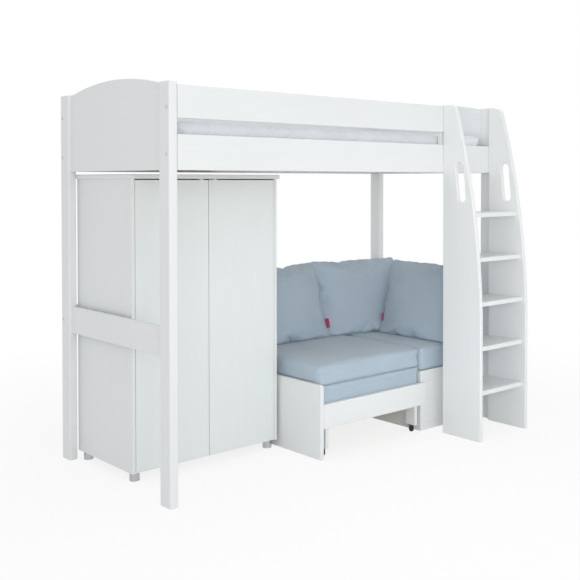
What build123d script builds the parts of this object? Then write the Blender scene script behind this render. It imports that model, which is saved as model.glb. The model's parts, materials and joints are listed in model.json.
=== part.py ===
from build123d import *
import math
import os

# Loft bed with a ladder, a wardrobe and a pull-out corner seat under it.
# X runs along the bed, Y from the ladder side to the back, Z up from the floor.
# The origin is on the floor, under the middle of the whole outline. Millimetres.

os.makedirs("parts", exist_ok=True)

# Clearances and shared sizes
overrun = 5
soft_gap = 0.3
running_gap = 0.3
bore_gap = 0.25
board_edge_radius = 3
fine_edge_radius = 1.5

# Bedstead
bed_length = 2130
bed_width = 948
post_height = 1728
post_width = 40
post_depth = 78
post_edge_radius = 6

# Arched end boards and the rails under them, held in grooves in the posts
panel_recess = 14
panel_thickness = 20
end_board_height = 359
panel_tongue = 15
arch_rise = 40
arch_shoulder = 22
arch_blend_radius = 120
end_rail_bottom = 605
end_rail_height = 125

# Long rails
rail_thickness = 30
side_rail_height = 146
guard_slot = 65
guard_rail_height = 136
brace_width = 30
brace_thickness = 18
brace_overlap = 45
brace_top_margin = 16

# Slatted base and mattress
bearer_section = 22
bearer_rise = 4
bearer_end_gap = 10
slat_count = 14
slat_width = 70
slat_thickness = 18
slat_end_gap = 2
mattress_height = 160
mattress_head_gap = 13
mattress_foot_gap = 49
mattress_side_gap = 6
mattress_corner_radius = 60
mattress_crown = 6

# Connecting bolts of the bedstead, with barrel nuts and caps
bolt_radius = 4
bolt_head_radius = 6.5
bolt_head_height = 5
bolt_recess_depth = 9
bolt_inset = 20
rail_bolt_rise = 65
guard_bolt_rise = 42
nut_radius = 6
nut_length = 14
nut_setback = 40
bolt_tail = 8
cap_radius = 8
cap_thickness = 3
cap_stand = 1

# Ladder
ladder_depth = 248
ladder_top_depth = 78
ladder_head_gap = 8
ladder_curve_start = 550
ladder_clear_width = 361
ladder_end_gap = 8
stringer_thickness = 22
stringer_toe_radius = 18
stringer_heel_radius = 6
stringer_crown_radius = 45
stringer_back_radius = 15
tread_count = 5
tread_first_top = 250
landing_rise = 18.5
tread_thickness = 22
tread_front_recess = 22
tread_back_recess = 12
tread_housing = 5
tread_nose_radius = 6
hand_hole_length = 205
hand_hole_width = 50
hand_hole_drop = 402
hand_hole_depth = 115
hand_hole_slant = 6
hand_hole_radius = 4
ladder_bolt_radius = 3
ladder_bolt_head_radius = 6
ladder_bolt_length = 58
ladder_bolt_rise = 8
ladder_bolt_spacing = 57
ladder_bolt_recess = 6
ladder_bolt_head_height = 4

# Wardrobe
wardrobe_share = 0.3970732
wardrobe_front = 380
wardrobe_depth = 500
wardrobe_side_thickness = 16
wardrobe_head_gap = 14
wardrobe_top_thickness = 20
wardrobe_top_overhang = 10
wardrobe_back_thickness = 3
foot_height = 40
foot_radius = 22.5
foot_rib_depth = 1.5
foot_rib_count = 3
foot_inset_x = 32
foot_inset_y = 39
door_thickness = 18
door_gap = 2
door_meeting_gap = 3
door_top_gap = 5
shelf_height = 1080
shelf_setback = 26
hanging_rail_drop = 55
hanging_rail_radius = 12.5
hanging_rail_wall = 1.5
socket_radius = 19
socket_length = 10
socket_wall = 3

# Concealed door hinges
hinge_count = 3
hinge_end_inset = 110
hinge_cup_radius = 17.5
hinge_cup_depth = 11
hinge_cup_wall = 1
hinge_cup_inset = 22.5
hinge_flange_length = 58
hinge_flange_width = 14
hinge_flange_thickness = 1
hinge_plate_length = 46
hinge_plate_width = 18
hinge_plate_thickness = 2
hinge_plate_setback = 30
hinge_arm_length = 66
hinge_arm_width = 12
hinge_arm_height = 9
hinge_nose_reach = 24
hinge_nose_length = 12

# Push latches under the wardrobe top
latch_offset = 25
latch_width = 14
latch_height = 17
latch_length = 70
latch_setback = 2.5
plunger_radius = 3
plunger_length = 28
plunger_drop = 9
plunger_travel = 4

# Pull-out seat
seat_wardrobe_gap = 16
seat_panel_thickness = 22
seat_panel_height = 356
seat_panel_front = 73
seat_panel_corner_radius = 15
seat_back_inset = 21
seat_rear_rail_thickness = 22
seat_rear_rail_drop = 99
apron_front = 75
apron_thickness = 22
apron_bottom = 144
apron_height = 116
apron_side_gap = 2
apron_overlap = 18
deck_height = 243
deck_slat_thickness = 18
deck_slat_count = 13
deck_slat_gap = 12
deck_side_margin = 4
deck_bar_height = 28
deck_bar_depth = 35
front_cleat_depth = 28
fixed_bar_front = 130
moving_slat_tail = 15
rear_ledger_depth = 25
side_bearer_width = 28
moving_slat_clearance = 30
leg_thickness = 20
leg_depth = 63
leg_inset = 31
leg_top_gap = 2

# Casters under the pull-out
caster_height = 38
caster_wheel_radius = 14
caster_wheel_width = 11
caster_plate_thickness = 4
caster_plate_length = 40
caster_cheek_thickness = 3
caster_cheek_radius = 8
caster_axle_radius = 2.5
caster_axle_gap = 0.08
caster_side_gap = 0.5

# Corner box
box_front = 100
box_end_gap = 5
box_share = 0.2478049
box_height = 318
box_board = 18
box_cap_radius = 4
box_cap_stand = 0.8
box_cap_depth = 9
box_cap_inset_x = 73
box_cap_edge_inset = 13
box_cap_low = 35
box_cap_high = 260

# Cushions
cushion_front = 100
cushion_side_gap = 5
cushion_height = 101
cushion_corner_radius = 22
cushion_edge_round = 5
cushion_waist = 4
cushion_crown = 6
cushion_crown_run = 110
cushion_shoulder_share = 0.25
raised_crown_run = 60
raised_back_depth = 210
seat_cushion_back_gap = 22
corner_cushion_left_gap = 3
corner_cushion_right_gap = 20
corner_cushion_front_gap = 3
pillow_height = 420
pillow_thickness = 190
pillow_edge = 40
pillow_draw = 12
pillow_lean_angle = 15
corner_pillow_turn_angle = -10
end_pillow_lean_angle = 17
left_pillow_end_gap = 23
left_pillow_back_inset = 197
back_pillow_gap = 10
corner_pillow_end_gap = 50
corner_pillow_back_inset = 244
end_pillow_width = 570
end_pillow_inset = 268
end_pillow_front_overhang = 55

# Places worked out from the sizes above
bed_left = -bed_length / 2
bed_right = bed_length / 2
bed_front = ladder_depth - (bed_width + ladder_depth) / 2
bed_back = bed_front + bed_width
panel_bottom = post_height - end_board_height
post_inner_left = bed_left + post_width
post_inner_right = bed_right - post_width
post_inner_length = post_inner_right - post_inner_left
rail_inner_front = bed_front + rail_thickness
rail_inner_back = bed_back - rail_thickness
side_rail_top = panel_bottom + side_rail_height
guard_bottom = side_rail_top + guard_slot
guard_top = guard_bottom + guard_rail_height
rail_bolt_height = panel_bottom + rail_bolt_rise
guard_bolt_height = guard_bottom + guard_bolt_rise
end_rail_top = end_rail_bottom + end_rail_height
ladder_height = post_height - ladder_head_gap
hand_hole_height = ladder_height - hand_hole_drop
tread_rise = (panel_bottom + landing_rise - tread_first_top) / tread_count
ladder_right_face = post_inner_right - ladder_end_gap
ladder_left_face = ladder_right_face - ladder_clear_width - 2 * stringer_thickness
tread_left = ladder_left_face + stringer_thickness - tread_housing
tread_right = ladder_right_face - stringer_thickness + tread_housing
guard_end = ladder_left_face + stringer_thickness
brace_left = guard_end - brace_width
brace_bottom = side_rail_top - brace_overlap
brace_top = guard_top - brace_top_margin
bearer_bottom = panel_bottom + bearer_rise
bearer_top = bearer_bottom + bearer_section
slat_top = bearer_top + slat_thickness
ladder_bolt_low = bearer_top + ladder_bolt_rise
panel_inner_inset = panel_recess + panel_thickness

wardrobe_width = post_inner_length * wardrobe_share
wardrobe_x = post_inner_left + wardrobe_top_overhang
wardrobe_end_x = wardrobe_x + wardrobe_width
wardrobe_side_top = panel_bottom - wardrobe_head_gap - wardrobe_top_thickness
wardrobe_middle_x = wardrobe_x + wardrobe_width / 2
wardrobe_y = bed_front + wardrobe_front
wardrobe_back_y = wardrobe_y + wardrobe_depth
wardrobe_board_back_y = wardrobe_back_y - wardrobe_back_thickness
wardrobe_inner_left = wardrobe_x + wardrobe_side_thickness
wardrobe_inner_right = wardrobe_end_x - wardrobe_side_thickness
wardrobe_floor_top = foot_height + wardrobe_side_thickness
door_bottom = foot_height + door_gap
door_top = wardrobe_side_top - door_top_gap
door_back_y = wardrobe_y + door_thickness
shelf_bottom = shelf_height - wardrobe_side_thickness
hanging_rail_height = shelf_bottom - hanging_rail_drop
hanging_rail_y = (door_back_y + wardrobe_board_back_y) / 2
latch_front_y = door_back_y + latch_setback

seat_x = wardrobe_end_x + seat_wardrobe_gap
seat_inner_x = seat_x + seat_panel_thickness
box_end_x = bed_right - box_end_gap
box_x = box_end_x - post_inner_length * box_share
box_front_y = bed_front + box_front
box_back_y = bed_back - post_depth
seat_back_y = bed_back - seat_back_inset
seat_rear_rail_y = seat_back_y - seat_rear_rail_thickness
apron_y = bed_front + apron_front
apron_back_y = apron_y + apron_thickness
apron_top = apron_bottom + apron_height
deck_slat_bottom = deck_height - deck_slat_thickness
deck_bar_bottom = deck_slat_bottom - deck_bar_height
side_bearer_bottom = deck_bar_bottom - side_bearer_width
deck_x = seat_inner_x + deck_side_margin
deck_width = box_x - seat_inner_x - 2 * deck_side_margin
deck_slat_width = (deck_width - (deck_slat_count - 1) * deck_slat_gap) / deck_slat_count
deck_slat_pitch = deck_slat_width + deck_slat_gap
fixed_bar_y = bed_front + fixed_bar_front
moving_slat_back_y = seat_rear_rail_y - rear_ledger_depth - moving_slat_clearance
moving_bar_y = moving_slat_back_y - moving_slat_tail - deck_bar_depth
cushion_y = bed_front + cushion_front
cushion_x = seat_inner_x + cushion_side_gap
cushion_end_x = box_x - cushion_side_gap
base_cushion_top = deck_height + cushion_height
seat_top = base_cushion_top + cushion_height
base_back_y = seat_back_y - seat_cushion_back_gap
seat_cushion_back_y = base_back_y - raised_back_depth
back_pillow_run = box_end_x - corner_pillow_end_gap - seat_inner_x - left_pillow_end_gap
back_pillow_width = (back_pillow_run - back_pillow_gap) / 2
caster_x = (
    seat_inner_x + leg_inset + leg_thickness / 2,
    box_x - leg_inset - leg_thickness / 2,
)
caster_y = apron_back_y + leg_depth / 2


def span(first, second):
    """Two values as a span, the lower one first."""
    return (min(first, second), max(first, second))


def across(y):
    """Upright plane across the bed at y. Its normal points to the ladder side."""
    return Plane.XZ.offset(-y)


def along(x):
    """Upright plane at x. Its normal points to the bed's right end."""
    return Plane.YZ.offset(x)


def board(x_span, y_span, z_span, mode=Mode.ADD):
    """Add a squared board to the part being built, or cut one out of it."""
    with BuildSketch(Plane.XY.offset(z_span[0])) as outline:
        with Locations(((x_span[0] + x_span[1]) / 2, (y_span[0] + y_span[1]) / 2)):
            Rectangle(x_span[1] - x_span[0], y_span[1] - y_span[0])
    extrude(outline.sketch, amount=z_span[1] - z_span[0], mode=mode)


def rods(plane, places, radius, length, mode=Mode.ADD):
    """Add round rods from a plane along its normal, or cut round holes."""
    with BuildSketch(plane) as circles:
        with Locations(*places):
            Circle(radius)
    extrude(circles.sketch, amount=length, mode=mode)


def save(piece, name):
    """Label a finished piece and write it as its own file."""
    piece.label = name
    export_step(piece, f"parts/{name}.step")


# Posts: grooved for the arched board, mortised for the end rail, drilled for the bolts
def bolt_heights(side, end):
    """Heights of the bolts that go through one post into its long rails."""
    if side > 0:
        return (rail_bolt_height, guard_bolt_height, end_rail_bottom + end_rail_height / 2)
    if end < 0:
        return (rail_bolt_height, guard_bolt_height)
    return (rail_bolt_height,)


def bolt_line_y(side):
    """Distance across the bed of the bolts at its front or back."""
    return bed_front + bolt_inset if side < 0 else bed_back - bolt_inset


post_corners = [(side, end) for side in (-1, 1) for end in (-1, 1)]
side_names = {-1: "front", 1: "back"}
end_names = {-1: "left", 1: "right"}

for side, end in post_corners:
    outer_x = end * bed_length / 2
    inner_x = outer_x - end * post_width
    outer_y = bed_front if side < 0 else bed_back
    inner_y = outer_y - side * post_depth
    groove_x = span(outer_x - end * panel_recess, outer_x - end * panel_inner_inset)
    groove_y = span(inner_y - side * overrun, inner_y + side * panel_tongue)
    bolt_places = [(bolt_line_y(side), height) for height in bolt_heights(side, end)]
    with BuildPart() as post:
        board(span(outer_x, inner_x), span(outer_y, inner_y), (0, post_height))
        fillet(post.edges().filter_by(Axis.Z), post_edge_radius)
        fillet(post.faces().sort_by(Axis.Z)[-1].edges(), board_edge_radius)
        board(groove_x, groove_y, (panel_bottom, post_height + overrun), Mode.SUBTRACT)
        board(groove_x, groove_y, (end_rail_bottom, end_rail_top), Mode.SUBTRACT)
        rods(along(inner_x), bolt_places, bolt_radius + bore_gap, end * post_width, Mode.SUBTRACT)
        rods(
            along(outer_x - end * bolt_recess_depth),
            bolt_places,
            cap_radius + bore_gap,
            end * (bolt_recess_depth + overrun),
            Mode.SUBTRACT,
        )
    save(post.part, f"post_{side_names[side]}_{end_names[end]}")

# Arched end boards
tongue_front_y = bed_front + post_depth - panel_tongue
tongue_back_y = bed_back - post_depth + panel_tongue
arch_front_y = bed_front + post_depth + arch_shoulder
arch_back_y = bed_back - post_depth - arch_shoulder
bed_middle_y = (bed_front + bed_back) / 2

for end in (-1, 1):
    board_outer_x = end * (bed_length / 2 - panel_recess)
    with BuildPart() as end_board:
        with BuildSketch(along(board_outer_x)) as arch_outline:
            with BuildLine():
                Polyline(
                    (arch_front_y, post_height),
                    (tongue_front_y, post_height),
                    (tongue_front_y, panel_bottom),
                    (tongue_back_y, panel_bottom),
                    (tongue_back_y, post_height),
                    (arch_back_y, post_height),
                )
                ThreePointArc(
                    (arch_back_y, post_height),
                    (bed_middle_y, post_height + arch_rise),
                    (arch_front_y, post_height),
                )
            make_face()
            arch_feet = arch_outline.vertices().group_by(Axis.Y)[-1].sort_by(Axis.X)[1:-1]
            fillet(arch_feet, arch_blend_radius)
        extrude(amount=-end * panel_thickness)
        fillet(end_board.faces().filter_by(Axis.X).edges(), board_edge_radius)
    save(end_board.part, f"end_board_{end_names[end]}")

    with BuildPart() as end_rail:
        board(
            span(board_outer_x, board_outer_x - end * panel_thickness),
            (tongue_front_y, tongue_back_y),
            (end_rail_bottom, end_rail_top),
        )
        fillet(end_rail.edges().filter_by(Axis.Y), board_edge_radius)
    save(end_rail.part, f"end_rail_{end_names[end]}")


# Long rails, bored at their ends for the bolts and barrel nuts
def rail_bores(side, height, ends):
    """Bore a long rail for the bolt and the barrel nut at each of its bolted ends."""
    line_y = bolt_line_y(side)
    inner_y = rail_inner_front if side < 0 else rail_inner_back
    nut_end_y = line_y + side * nut_length / 2
    for end in ends:
        end_x = end * (bed_length / 2 - post_width)
        bore_depth = nut_setback + nut_radius + bolt_tail + overrun
        rods(along(end_x), [(line_y, height)], bolt_radius + bore_gap, -end * bore_depth, Mode.SUBTRACT)
        rods(
            across(inner_y),
            [(end_x - end * nut_setback, height)],
            nut_radius + bore_gap,
            inner_y - nut_end_y,
            Mode.SUBTRACT,
        )


ladder_bolt_x = (
    ladder_left_face + stringer_thickness / 2,
    ladder_right_face - stringer_thickness / 2,
)
ladder_bolt_places = [
    (x, ladder_bolt_low + step * ladder_bolt_spacing) for x in ladder_bolt_x for step in (0, 1)
]
ladder_bolt_head_y = rail_inner_front - ladder_bolt_recess

with BuildPart() as side_rail_front:
    board(
        (post_inner_left, post_inner_right), (bed_front, rail_inner_front), (panel_bottom, side_rail_top)
    )
    fillet(side_rail_front.edges().filter_by(Axis.X), board_edge_radius)
    rail_bores(-1, rail_bolt_height, (-1, 1))
    rods(
        across(rail_inner_front),
        ladder_bolt_places,
        ladder_bolt_radius + bore_gap,
        rail_thickness,
        Mode.SUBTRACT,
    )
    rods(
        across(rail_inner_front),
        ladder_bolt_places,
        ladder_bolt_head_radius + bore_gap,
        ladder_bolt_recess,
        Mode.SUBTRACT,
    )
    board(
        (brace_left, guard_end),
        (rail_inner_front - brace_thickness, rail_inner_front + overrun),
        (brace_bottom, side_rail_top + overrun),
        Mode.SUBTRACT,
    )
save(side_rail_front.part, "side_rail_front")

with BuildPart() as side_rail_back:
    board(
        (post_inner_left, post_inner_right), (rail_inner_back, bed_back), (panel_bottom, side_rail_top)
    )
    fillet(side_rail_back.edges().filter_by(Axis.X), board_edge_radius)
    rail_bores(1, rail_bolt_height, (-1, 1))
save(side_rail_back.part, "side_rail_back")

with BuildPart() as guard_rail_front:
    board((post_inner_left, guard_end), (bed_front, rail_inner_front), (guard_bottom, guard_top))
    fillet(guard_rail_front.edges().filter_by(Axis.X), board_edge_radius)
    rail_bores(-1, guard_bolt_height, (-1,))
    board(
        (brace_left, guard_end + overrun),
        (rail_inner_front - brace_thickness, rail_inner_front + overrun),
        (guard_bottom - overrun, brace_top),
        Mode.SUBTRACT,
    )
save(guard_rail_front.part, "guard_rail_front")

with BuildPart() as guard_rail_back:
    board((post_inner_left, post_inner_right), (rail_inner_back, bed_back), (guard_bottom, guard_top))
    fillet(guard_rail_back.edges().filter_by(Axis.X), board_edge_radius)
    rail_bores(1, guard_bolt_height, (-1, 1))
save(guard_rail_back.part, "guard_rail_back")

with BuildPart() as back_rail:
    board(
        (post_inner_left, post_inner_right), (rail_inner_back, bed_back), (end_rail_bottom, end_rail_top)
    )
    fillet(back_rail.edges().filter_by(Axis.X), board_edge_radius)
    rail_bores(1, end_rail_bottom + end_rail_height / 2, (-1, 1))
save(back_rail.part, "back_rail")

# Upright let into both front rails, which carries the guard rail's free end
with BuildPart() as guard_upright:
    board(
        (brace_left, guard_end),
        (rail_inner_front - brace_thickness, rail_inner_front),
        (brace_bottom, brace_top),
    )
    fillet(guard_upright.edges().filter_by(Axis.Z).group_by(Axis.Y)[0], fine_edge_radius)
save(guard_upright.part, "guard_upright")

# Bolts through the posts, each screwed into its barrel nut, and the bolts that hold the ladder
bolt_lines = [
    (bolt_line_y(side), height, end) for side, end in post_corners for height in bolt_heights(side, end)
]
bolt_reach = post_width - bolt_recess_depth + nut_setback + nut_radius + bolt_tail

with BuildPart() as bed_bolts:
    for line_y, height, end in bolt_lines:
        nut_x = end * (bed_length / 2 - post_width - nut_setback)
        rods(across(line_y + nut_length / 2), [(nut_x, height)], nut_radius, nut_length)
        head_x = end * (bed_length / 2 - bolt_recess_depth)
        rods(along(head_x), [(line_y, height)], bolt_head_radius, end * bolt_head_height)
        rods(along(head_x), [(line_y, height)], bolt_radius, -end * bolt_reach)
    rods(
        across(ladder_bolt_head_y + ladder_bolt_head_height),
        ladder_bolt_places,
        ladder_bolt_head_radius,
        ladder_bolt_head_height,
    )
    rods(across(ladder_bolt_head_y), ladder_bolt_places, ladder_bolt_radius, ladder_bolt_length)
save(bed_bolts.part, "bed_bolts")

# Caps over the bolt heads in the posts and over the screws of the corner box
box_cap_x = (box_x + box_cap_inset_x, box_end_x - box_cap_edge_inset)
box_cap_places = [(x, z) for x in box_cap_x for z in (box_cap_low, box_cap_high)]

with BuildPart() as bolt_caps:
    for line_y, height, end in bolt_lines:
        cap_x = end * (bed_length / 2 - cap_thickness)
        rods(along(cap_x), [(line_y, height)], cap_radius, end * (cap_thickness + cap_stand))
    left_rims = bolt_caps.faces().filter_by(Axis.X).group_by(Axis.X)[0].edges()
    right_rims = bolt_caps.faces().filter_by(Axis.X).group_by(Axis.X)[-1].edges()
    chamfer(left_rims + right_rims, cap_stand)
    rods(
        across(box_front_y + box_cap_depth),
        box_cap_places,
        box_cap_radius,
        box_cap_depth + box_cap_stand,
    )
    box_rims = bolt_caps.faces().filter_by(Axis.Y).group_by(Axis.Y)[0].edges()
    chamfer(box_rims, box_cap_stand)
save(bolt_caps.part, "bolt_caps")

# Slatted base
with BuildPart() as slat_bearers:
    for inner_y, outward in ((rail_inner_front, 1), (rail_inner_back, -1)):
        board(
            (post_inner_left + bearer_end_gap, post_inner_right - bearer_end_gap),
            span(inner_y, inner_y + outward * bearer_section),
            (bearer_bottom, bearer_top),
        )
save(slat_bearers.part, "slat_bearers")

slat_run = bed_length - 2 * (post_width + bearer_end_gap) - slat_width
slat_pitch = slat_run / (slat_count - 1)
with BuildPart() as bed_slats:
    with BuildSketch(Plane.XY.offset(bearer_top)):
        with Locations((0, bed_middle_y)):
            with GridLocations(slat_pitch, 0, slat_count, 1):
                Rectangle(slat_width, bed_width - 2 * (rail_thickness + slat_end_gap))
    extrude(amount=slat_thickness)
save(bed_slats.part, "bed_slats")


# Cushion blocks: a rounded plan, sides drawn in between their seams and a crowned top
def cushion_levels(height, crown, crown_run):
    """Heights of a cushion block's outlines with how far each is drawn in."""
    levels = [
        (0, cushion_edge_round),
        (cushion_edge_round, 0),
        ((height - crown) / 2, cushion_waist),
        (height - crown - cushion_edge_round, 0),
        (height - crown, cushion_edge_round),
    ]
    if crown > 0:
        shoulder = cushion_edge_round + (crown_run - cushion_edge_round) * cushion_shoulder_share
        levels += [(height - crown / 2, shoulder), (height, crown_run)]
    return levels


def cushion_block(x_span, y_span, z_span, corner_radius, crown, crown_run):
    """Add a cushion block between its spans, crowned on top, to the part being built."""
    middle = ((x_span[0] + x_span[1]) / 2, (y_span[0] + y_span[1]) / 2)
    outlines = []
    for level, inset in cushion_levels(z_span[1] - z_span[0], crown, crown_run):
        with BuildSketch(Plane.XY.offset(z_span[0] + level)) as outline:
            with Locations(middle):
                RectangleRounded(
                    x_span[1] - x_span[0] - 2 * inset, y_span[1] - y_span[0] - 2 * inset, corner_radius
                )
        outlines.append(outline.sketch)
    loft(outlines, ruled=True)


mattress_x = bed_left + panel_inner_inset + mattress_head_gap
mattress_end_x = bed_right - panel_inner_inset - mattress_foot_gap
with BuildPart() as mattress:
    cushion_block(
        (mattress_x, mattress_end_x),
        (rail_inner_front + mattress_side_gap, rail_inner_back - mattress_side_gap),
        (slat_top + soft_gap, slat_top + mattress_height),
        mattress_corner_radius,
        mattress_crown,
        cushion_crown_run,
    )
save(mattress.part, "mattress")

# Ladder sides: straight below, then curving back to a rounded head
curve_run = ladder_depth - ladder_top_depth
curve_climb = ladder_height - ladder_curve_start
curve_radius = (curve_run**2 + curve_climb**2) / (2 * curve_run)


def ladder_reach(height):
    """How far the ladder sides stand out from the bed at a height."""
    if height <= ladder_curve_start:
        return ladder_depth
    climb = height - ladder_curve_start
    return ladder_depth - curve_radius + math.sqrt(curve_radius**2 - climb**2)


tread_tops = [tread_first_top + step * tread_rise for step in range(tread_count)]


def tread_span_y(top):
    """Front and back of the tread whose upper face is at this height."""
    return (bed_front - ladder_reach(top) + tread_front_recess, bed_front - tread_back_recess)


ladder_sides = (
    ("ladder_side_left", ladder_left_face, tread_left),
    ("ladder_side_right", ladder_right_face - stringer_thickness, tread_right - tread_housing),
)
for name, face_x, housing_x in ladder_sides:
    with BuildPart() as ladder_side:
        with BuildSketch(along(face_x)) as side_outline:
            with BuildLine():
                foot_line = Polyline(
                    (bed_front - ladder_top_depth, ladder_height),
                    (bed_front, ladder_height),
                    (bed_front, 0),
                    (bed_front - ladder_depth, 0),
                    (bed_front - ladder_depth, ladder_curve_start),
                )
                TangentArc(foot_line @ 1, foot_line @ 0, tangent=foot_line % 1)
            make_face()
            head_corners = side_outline.vertices().group_by(Axis.Y)[-1].sort_by(Axis.X)
            floor_corners = side_outline.vertices().group_by(Axis.Y)[0].sort_by(Axis.X)
            fillet(head_corners[0], stringer_crown_radius)
            fillet(head_corners[-1], stringer_back_radius)
            fillet(floor_corners[0], stringer_toe_radius)
            fillet(floor_corners[-1], stringer_heel_radius)
            with Locations((bed_front - hand_hole_depth, hand_hole_height)):
                SlotOverall(
                    hand_hole_length, hand_hole_width, rotation=90 - hand_hole_slant, mode=Mode.SUBTRACT
                )
        extrude(amount=stringer_thickness)
        fillet(ladder_side.faces().filter_by(Axis.X).edges(), hand_hole_radius)
        for top in tread_tops:
            board(
                (housing_x, housing_x + tread_housing),
                tread_span_y(top),
                (top - tread_thickness, top),
                Mode.SUBTRACT,
            )
        rods(
            across(bed_front),
            ladder_bolt_places,
            ladder_bolt_radius + bore_gap,
            ladder_bolt_length,
            Mode.SUBTRACT,
        )
    save(ladder_side.part, name)

with BuildPart() as ladder_treads:
    for top in tread_tops:
        board((tread_left, tread_right), tread_span_y(top), (top - tread_thickness, top))
        nose = ladder_treads.edges().filter_by(Axis.X).group_by(Axis.Z)[-1].sort_by(Axis.Y)[0]
        fillet(nose, tread_nose_radius)
save(ladder_treads.part, "ladder_treads")

# Wardrobe carcass
for name, side_x in (
    ("wardrobe_side_left", wardrobe_x),
    ("wardrobe_side_right", wardrobe_inner_right),
):
    with BuildPart() as wardrobe_side:
        board(
            (side_x, side_x + wardrobe_side_thickness),
            (wardrobe_y, wardrobe_board_back_y),
            (foot_height, wardrobe_side_top),
        )
        fillet(wardrobe_side.edges().filter_by(Axis.Z).group_by(Axis.Y)[0], fine_edge_radius)
    save(wardrobe_side.part, name)

with BuildPart() as wardrobe_top:
    board(
        (wardrobe_x - wardrobe_top_overhang, wardrobe_end_x + wardrobe_top_overhang),
        (wardrobe_y - wardrobe_top_overhang, wardrobe_back_y),
        (wardrobe_side_top, wardrobe_side_top + wardrobe_top_thickness),
    )
    fillet(wardrobe_top.faces().filter_by(Axis.Z).edges(), board_edge_radius)
save(wardrobe_top.part, "wardrobe_top")

with BuildPart() as wardrobe_floor:
    board(
        (wardrobe_inner_left, wardrobe_inner_right),
        (door_back_y + door_gap, wardrobe_board_back_y),
        (foot_height, wardrobe_floor_top),
    )
save(wardrobe_floor.part, "wardrobe_floor")

with BuildPart() as wardrobe_back:
    board(
        (wardrobe_x, wardrobe_end_x),
        (wardrobe_board_back_y, wardrobe_back_y),
        (foot_height, wardrobe_side_top),
    )
save(wardrobe_back.part, "wardrobe_back")

with BuildPart() as wardrobe_shelf:
    board(
        (wardrobe_inner_left, wardrobe_inner_right),
        (door_back_y + shelf_setback, wardrobe_board_back_y),
        (shelf_bottom, shelf_height),
    )
    fillet(wardrobe_shelf.edges().filter_by(Axis.X).group_by(Axis.Y)[0], fine_edge_radius)
save(wardrobe_shelf.part, "wardrobe_shelf")

rail_place = [(hanging_rail_y, hanging_rail_height)]
with BuildPart() as hanging_rail:
    rail_start_x = wardrobe_inner_left + socket_wall
    rail_length = wardrobe_inner_right - socket_wall - rail_start_x
    rods(along(rail_start_x), rail_place, hanging_rail_radius, rail_length)
    rods(
        along(rail_start_x),
        rail_place,
        hanging_rail_radius - hanging_rail_wall,
        rail_length,
        Mode.SUBTRACT,
    )
save(hanging_rail.part, "hanging_rail")

with BuildPart() as rail_sockets:
    for wall_x, inward in ((wardrobe_inner_left, 1), (wardrobe_inner_right, -1)):
        rods(along(wall_x), rail_place, socket_radius, inward * socket_length)
        rods(
            along(wall_x + inward * socket_wall),
            rail_place,
            hanging_rail_radius + bore_gap,
            inward * socket_length,
            Mode.SUBTRACT,
        )
save(rail_sockets.part, "rail_sockets")

# Ribbed feet
foot_places = [
    (x, y)
    for x in (wardrobe_x + foot_inset_x, wardrobe_end_x - foot_inset_x)
    for y in (wardrobe_y + foot_inset_y, wardrobe_back_y - foot_inset_y)
]
rib_pitch = foot_height / (2 * foot_rib_count + 1)
with BuildPart() as wardrobe_feet:
    rods(Plane.XY, foot_places, foot_radius, foot_height)
    for groove in range(1, 2 * foot_rib_count, 2):
        with BuildSketch(Plane.XY.offset(groove * rib_pitch)):
            with Locations(*foot_places):
                Circle(foot_radius + overrun)
                Circle(foot_radius - foot_rib_depth, mode=Mode.SUBTRACT)
        extrude(amount=rib_pitch, mode=Mode.SUBTRACT)
save(wardrobe_feet.part, "wardrobe_feet")

# Doors set in between the sides, bored for the hinge cups
hinge_span = door_top - door_bottom - 2 * hinge_end_inset
hinge_heights = [
    door_bottom + hinge_end_inset + step * hinge_span / (hinge_count - 1) for step in range(hinge_count)
]
door_sets = (
    ("left", 1, wardrobe_inner_left, wardrobe_middle_x - door_meeting_gap / 2),
    ("right", -1, wardrobe_inner_right, wardrobe_middle_x + door_meeting_gap / 2),
)

for name, inward, wall_x, meeting_x in door_sets:
    hinge_edge_x = wall_x + inward * door_gap
    cup_x = hinge_edge_x + inward * hinge_cup_inset
    cup_places = [(cup_x, height) for height in hinge_heights]
    with BuildPart() as door:
        board(span(hinge_edge_x, meeting_x), (wardrobe_y, door_back_y), (door_bottom, door_top))
        fillet(door.faces().sort_by(Axis.Y)[0].edges(), fine_edge_radius)
        rods(
            across(door_back_y),
            cup_places,
            hinge_cup_radius + bore_gap,
            hinge_cup_depth,
            Mode.SUBTRACT,
        )
    save(door.part, f"wardrobe_door_{name}")

    with BuildPart() as hinge_cups:
        rods(across(door_back_y), cup_places, hinge_cup_radius, hinge_cup_depth)
        with BuildSketch(across(door_back_y)):
            with Locations(*cup_places):
                SlotOverall(hinge_flange_length, hinge_flange_width, rotation=90)
                Circle(hinge_cup_radius + hinge_cup_wall)
        extrude(amount=-hinge_flange_thickness)
        rods(
            across(door_back_y + hinge_flange_thickness),
            cup_places,
            hinge_cup_radius - hinge_cup_wall,
            hinge_flange_thickness + hinge_cup_depth - hinge_cup_wall,
            Mode.SUBTRACT,
        )
    save(hinge_cups.part, f"hinge_cups_{name}")

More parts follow.
